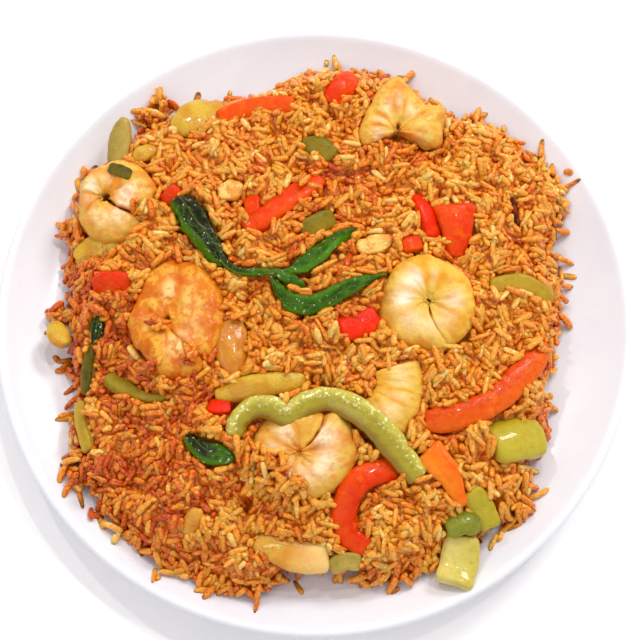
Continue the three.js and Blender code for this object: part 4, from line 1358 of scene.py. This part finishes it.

# %% [markdown]
# ## The sticky layer under the grains
#
# Between the loose grains the eye meets more rice, packed and glued with sauce. Filling the
# heap with grains down to the dish would only cost triangles, so one closed mesh stands for
# all of it. It follows the blurred height map a little below the grains and goes down to the
# dish at the heap's outline. Its colour, dark flecks and all, is painted darker than the
# grains: painted shade that makes the gaps look deep.

# %% Sticky rice finish
tree, shader = finish("sticky_rice", coat_weight=0.3, coat_roughness=0.1,
                      subsurface_weight=0.4, subsurface_scale=0.003, subsurface_radius=WARM)
sauce = use(tree, BLOTCHES, scale=420.0, cover=0.5)
# Painted shade: the layer is coloured darker than the grains, with darker flecks, so the gaps look
# deep.
deep = mixed(tree, sauce, paint(212, 92, 2), paint(236, 146, 26))
flecks = use(tree, BLOTCHES, scale=300.0, cover=0.2)
feed(tree, shader, base_color=mixed(tree, flecks, deep, paint(150, 44, 0)))
feed(tree, shader, roughness=use(tree, WETNESS, scale=500.0, wet=0.25, dull=0.6))
relief(tree, shader, use(tree, RELIEF, scale=620.0), 0.0008, 1.0)
print("finishes so far:", len(FINISHES))

# %% Sticky layer mesh
LAYER_SINK = 1.3  # how far the sticky layer lies below the grains' mean surface
UNDER_TOPPINGS = 2  # how far below the target it stays where a topping lies
LAYER_BLUR = 1.1
OFF_WELL, OFF_EDGE = 0.3, 0.5  # how far above the dish its bottom and its edge stay
LAYER_SIDES = 640
BOTTOM_SHARES = (0.05, 0.5, 0.86, 0.93)
TOP_SHARES = np.linspace(0.95, 0.015, 120)
packed = np.where(covered, np.minimum(height, target - UNDER_TOPPINGS), height)
layer_height = blurred(packed, LAYER_BLUR) - LAYER_SINK
angles = np.linspace(0, 2 * np.pi, LAYER_SIDES, endpoint=False)
reach = heap_radius(angles)
rings = []
for share in BOTTOM_SHARES:
    x, y = reach * share * np.cos(angles), reach * share * np.sin(angles)
    rings.append(np.column_stack([x, y, dish_height(reach * share) + OFF_WELL]))
for share in TOP_SHARES:
    x, y = reach * share * np.cos(angles), reach * share * np.sin(angles)
    low = dish_height(reach * share) + OFF_EDGE
    z = np.maximum(layer_height[to_cell(x), to_cell(y)], low)
    rings.append(np.column_stack([x, y, z]))
bm = bmesh.new()
loft(bm, [[Vector(point) for point in ring] for ring in rings])
wilt(bm, 1.1, 1.3, 31)
core = settle("rice_core", bm, "sticky_rice", "rice", "rice_heap")
print("core faces:", len(core.data.polygons))

# %% [markdown]
# ## Grains below the toppings at the edge
#
# No grain falls where a topping lies, because the height map only knows the view from above.
# But toppings at the edge of the heap stick out over its side, and from across the table the
# sticky layer would show bare below them. So a few more grains are stuck flat to that layer,
# along its slope, under each topping near the edge.

# %% Grains below overhanging toppings
OVERHUNG = 0.8  # share of the heap's reach beyond which its side shows below the toppings
CELLS_EACH = 26  # covered cells of the map for each of these grains
STUCK_LIFT = 0.5  # how far their middle lies off the layer
dip_x, dip_y = np.gradient(layer_height, CELL)
bare = np.argwhere(covered & (share_map > OVERHUNG) & (share_map < 1))
for i, j in bare[random.integers(0, len(bare), len(bare) // CELLS_EACH)]:
    turn = random.uniform(0, 2 * math.pi)
    slope = dip_x[i, j] * math.cos(turn) + dip_y[i, j] * math.sin(turn)
    steepness = math.hypot(dip_x[i, j], dip_y[i, j])
    level = layer_height[i, j] + STUCK_LIFT * math.hypot(1, steepness)
    length, width = random.uniform(4.5, 8.5), random.uniform(2.1, 2.9)
    grains.append((axis[i], axis[j], level, turn, slope, length, width, width * 0.85))
print("grains with the overhung ones:", len(grains))

# %% [markdown]
# ## From grains to meshes
#
# A cooked grain is a blunt spindle, a little bent, and no two are the same. Ten thousand
# separate objects would be slow, so all the grains of a lot share one mesh, with few faces
# each. The arithmetic runs over whole arrays, one row for each grain, and smooth shading
# hides the facets. The tone of each point follows patches of sauce in the heap. It is
# painted darker in the gaps and in the hollows between lumps, as shade and as the sauce
# that gathers there.

# %% Shape of a grain
SIDES = 8
RINGS = np.array([-0.95, -0.72, 0.0, 0.72, 0.95])  # places of the rings, as a share
OFF_DISH = 0.1  # the least height of a grain's points above the dish
turns = np.tile(2 * np.pi * np.arange(SIDES) / SIDES, len(RINGS))
shares = np.array([-1.0, *np.repeat(RINGS, SIDES), 1.0])  # each point's place along a grain
around = np.array([0.0, *turns, 0.0])  # and its angle round it
radii = np.array([0.0, *np.repeat((1 - np.abs(RINGS) ** BLUNT) ** 0.5, SIDES), 0.0])


def grain_points(rows):
    """Points of every grain as an array: grain, point, xyz."""
    x, y, z, turn, slope, length, width, thick = rows.T
    count = len(rows)
    bend = random.uniform(-0.9, 1.5, count) * (length / 8.5) ** 2
    roll = random.uniform(0, 2 * math.pi, count)
    skew = random.uniform(-0.22, 0.22, count)
    swell = np.repeat(random.normal(1, 0.05, (count, len(RINGS))), SIDES, axis=1)
    swell = np.column_stack([np.ones(count), swell, np.ones(count)])
    along = shares[None, :] * length[:, None] / 2
    fat = radii[None, :] * (1 + skew[:, None] * shares[None, :])
    fat = fat * swell * (1 + 0.05 * random.standard_normal((count, len(shares))))
    bent = bend[:, None] * (1 - shares**2)[None, :] * 0.5
    across = fat * np.cos(around) * width[:, None] / 2 + bent
    rise = fat * np.sin(around) * thick[:, None] / 2
    c, s = np.cos(roll)[:, None], np.sin(roll)[:, None]
    across, rise = across * c - rise * s, across * s + rise * c
    tilt = np.arctan(slope)[:, None]
    out = along * np.cos(tilt) - rise * np.sin(tilt)
    up = along * np.sin(tilt) + rise * np.cos(tilt)
    ct, st = np.cos(turn)[:, None], np.sin(turn)[:, None]
    px = x[:, None] + out * ct - across * st
    py = y[:, None] + out * st + across * ct
    pz = np.maximum(z[:, None] + up, dish_height(np.hypot(px, py)) + OFF_DISH)
    return np.stack([px, py, pz], axis=2)


def grain_faces():
    """Faces of one grain, pointing outwards."""
    first = [(0, 1 + (k + 1) % SIDES, 1 + k) for k in range(SIDES)]
    quads = []
    for ring in range(len(RINGS) - 1):
        a, b = 1 + ring * SIDES, 1 + (ring + 1) * SIDES
        quads += [(a + k, a + (k + 1) % SIDES, b + (k + 1) % SIDES, b + k) for k in range(SIDES)]
    tip, last = 1 + len(RINGS) * SIDES, 1 + (len(RINGS) - 1) * SIDES
    end = [(last + k, last + (k + 1) % SIDES, tip) for k in range(SIDES)]
    return first + quads + end


faces = grain_faces()
print("points and faces of a grain:", len(shares), len(faces))

# %% Tones of the grains
AROUND = 1.3  # how far round a point the height of the rice is averaged
around_height = blurred(height, AROUND)
USUAL_TONE = 0.54
PALE_GRAINS, PALER = 0.05, 0.4  # share of the grains that took no sauce, and how much paler
# Painted shade: points deep in a gap are painted darker and browner, for shade and for sauce
# gathered there.
GAP_SHADE, GAP_DEPTH = 0.22, 3.2  # how much browner a point is this far down in a gap
GAP_TOP = 0.4  # how far above the mean height of the rice around it a gap begins
TIP_BROWN = 0.08
# Patches painted darker: partly sauce, partly painted shade on the heap's lower left and middle.
SAUCE_AND_SHADE = [(-62, -58, 40, 0.30), (-85, -5, 32, 0.22), (-2, 2, 26, 0.12), (8, 48, 22, 0.16),
         (-25, 62, 22, 0.08)]  # x, y, reach, how much


def grain_tones(points):
    """How pale each point is: patches of sauce, and painted shade, darker in the gaps,
    in the hollows between lumps and in patches to the left and in the middle.
    """
    centre = points.mean(1)
    x, y = centre[:, 0], centre[:, 1]
    patch = np.array([noise.fractal(Vector(spot) / 15, 0.8, 2.0, 2) for spot in centre])
    tone = USUAL_TONE + 0.16 * patch + random.normal(0, 0.10, len(centre))
    unsauced = random.random(len(centre)) < PALE_GRAINS
    # Painted shade: grains on top of a lump are painted paler, and those in the hollows darker.
    tone = tone + 0.26 * lumps[to_cell(x), to_cell(y)] + PALER * unsauced
    for at_x, at_y, reach, darkening in SAUCE_AND_SHADE:
        tone = tone - darkening * np.exp(-((x - at_x) ** 2 + (y - at_y) ** 2) / reach**2)
    # Painted shade: the lower a point lies below the rice around it, the darker its tone.
    level = around_height[to_cell(points[:, :, 0]), to_cell(points[:, :, 1])]
    painted_gap_shade = np.clip((level + GAP_TOP - points[:, :, 2]) / GAP_DEPTH, 0, 1)
    toned = np.clip(tone[:, None] - GAP_SHADE * painted_gap_shade, 0.0, 1.0)
    return toned - TIP_BROWN * np.abs(shares) ** 3


print("patches of sauce:", len(SAUCE_AND_SHADE))

# %% Meshes of the grains
PER_PIECE = 2300
rows = np.array(grains)
order = random.permutation(len(rows))
for number, start in enumerate(range(0, len(rows), PER_PIECE), 1):
    chosen = rows[order[start : start + PER_PIECE]]
    points = grain_points(chosen)
    tones = grain_tones(points)
    each = len(shares)
    mesh = bpy.data.meshes.new(f"rice_grains_{number}")
    shapes = [tuple(each * g + k for k in face) for g in range(len(chosen)) for face in faces]
    mesh.from_pydata((points.reshape(-1, 3) * MM).tolist(), [], shapes)
    mesh.shade_smooth()
    mesh.materials.append(FINISHES["sauced_rice"])
    tone = mesh.attributes.new("tone", "FLOAT", "POINT")
    tone.data.foreach_set("value", tones.ravel().astype(np.float32))
    piece = bpy.data.objects.new(f"rice_grains_{number}", mesh)
    bpy.context.scene.collection.objects.link(piece)
    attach(piece, "root")
    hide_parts("rice_heap")
    print(mesh.name, "faces:", len(mesh.polygons))

# %% [markdown]
# ## Floor
#
# The plate stands on a plain pale table top, large enough to fill the view. One flat square
# is enough for it, because nothing of it shows but its colour and the plate's shadow.

# %% Floor
TABLE_HALF = 1.5  # half the table's side, in metres
bm = bmesh.new()
bmesh.ops.create_grid(bm, x_segments=1, y_segments=1, size=TABLE_HALF)
mesh = bpy.data.meshes.new("table_top")
bm.to_mesh(mesh)
bm.free()
floor = bpy.data.objects.new("table_top", mesh)
tree, shader = finish("table_top", roughness=0.6)
weave = use(tree, BLOTCHES, scale=6.0, cover=0.5)
feed(tree, shader, base_color=mixed(tree, weave, paint(250, 249, 250), paint(254, 253, 254)))
mesh.materials.append(FINISHES["table_top"])
bpy.context.scene.collection.objects.link(floor)
floor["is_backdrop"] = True
print("finishes in all:", len(FINISHES))

# %% [markdown]
# ## Sizes
#
# The dressed plate has to fill the same box as the solids. Both boxes are kept side by
# side, and the size of the dressed one is printed.

# %% Sizes, and finish
lo, hi = cad_box
seen_lo, seen_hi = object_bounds()
sizes = {"cad": [list(lo), list(hi)], "visual": [list(seen_lo), list(seen_hi)]}
print("visual box, mm:", [round((b - a) / MM, 1) for a, b in zip(seen_lo, seen_hi)])
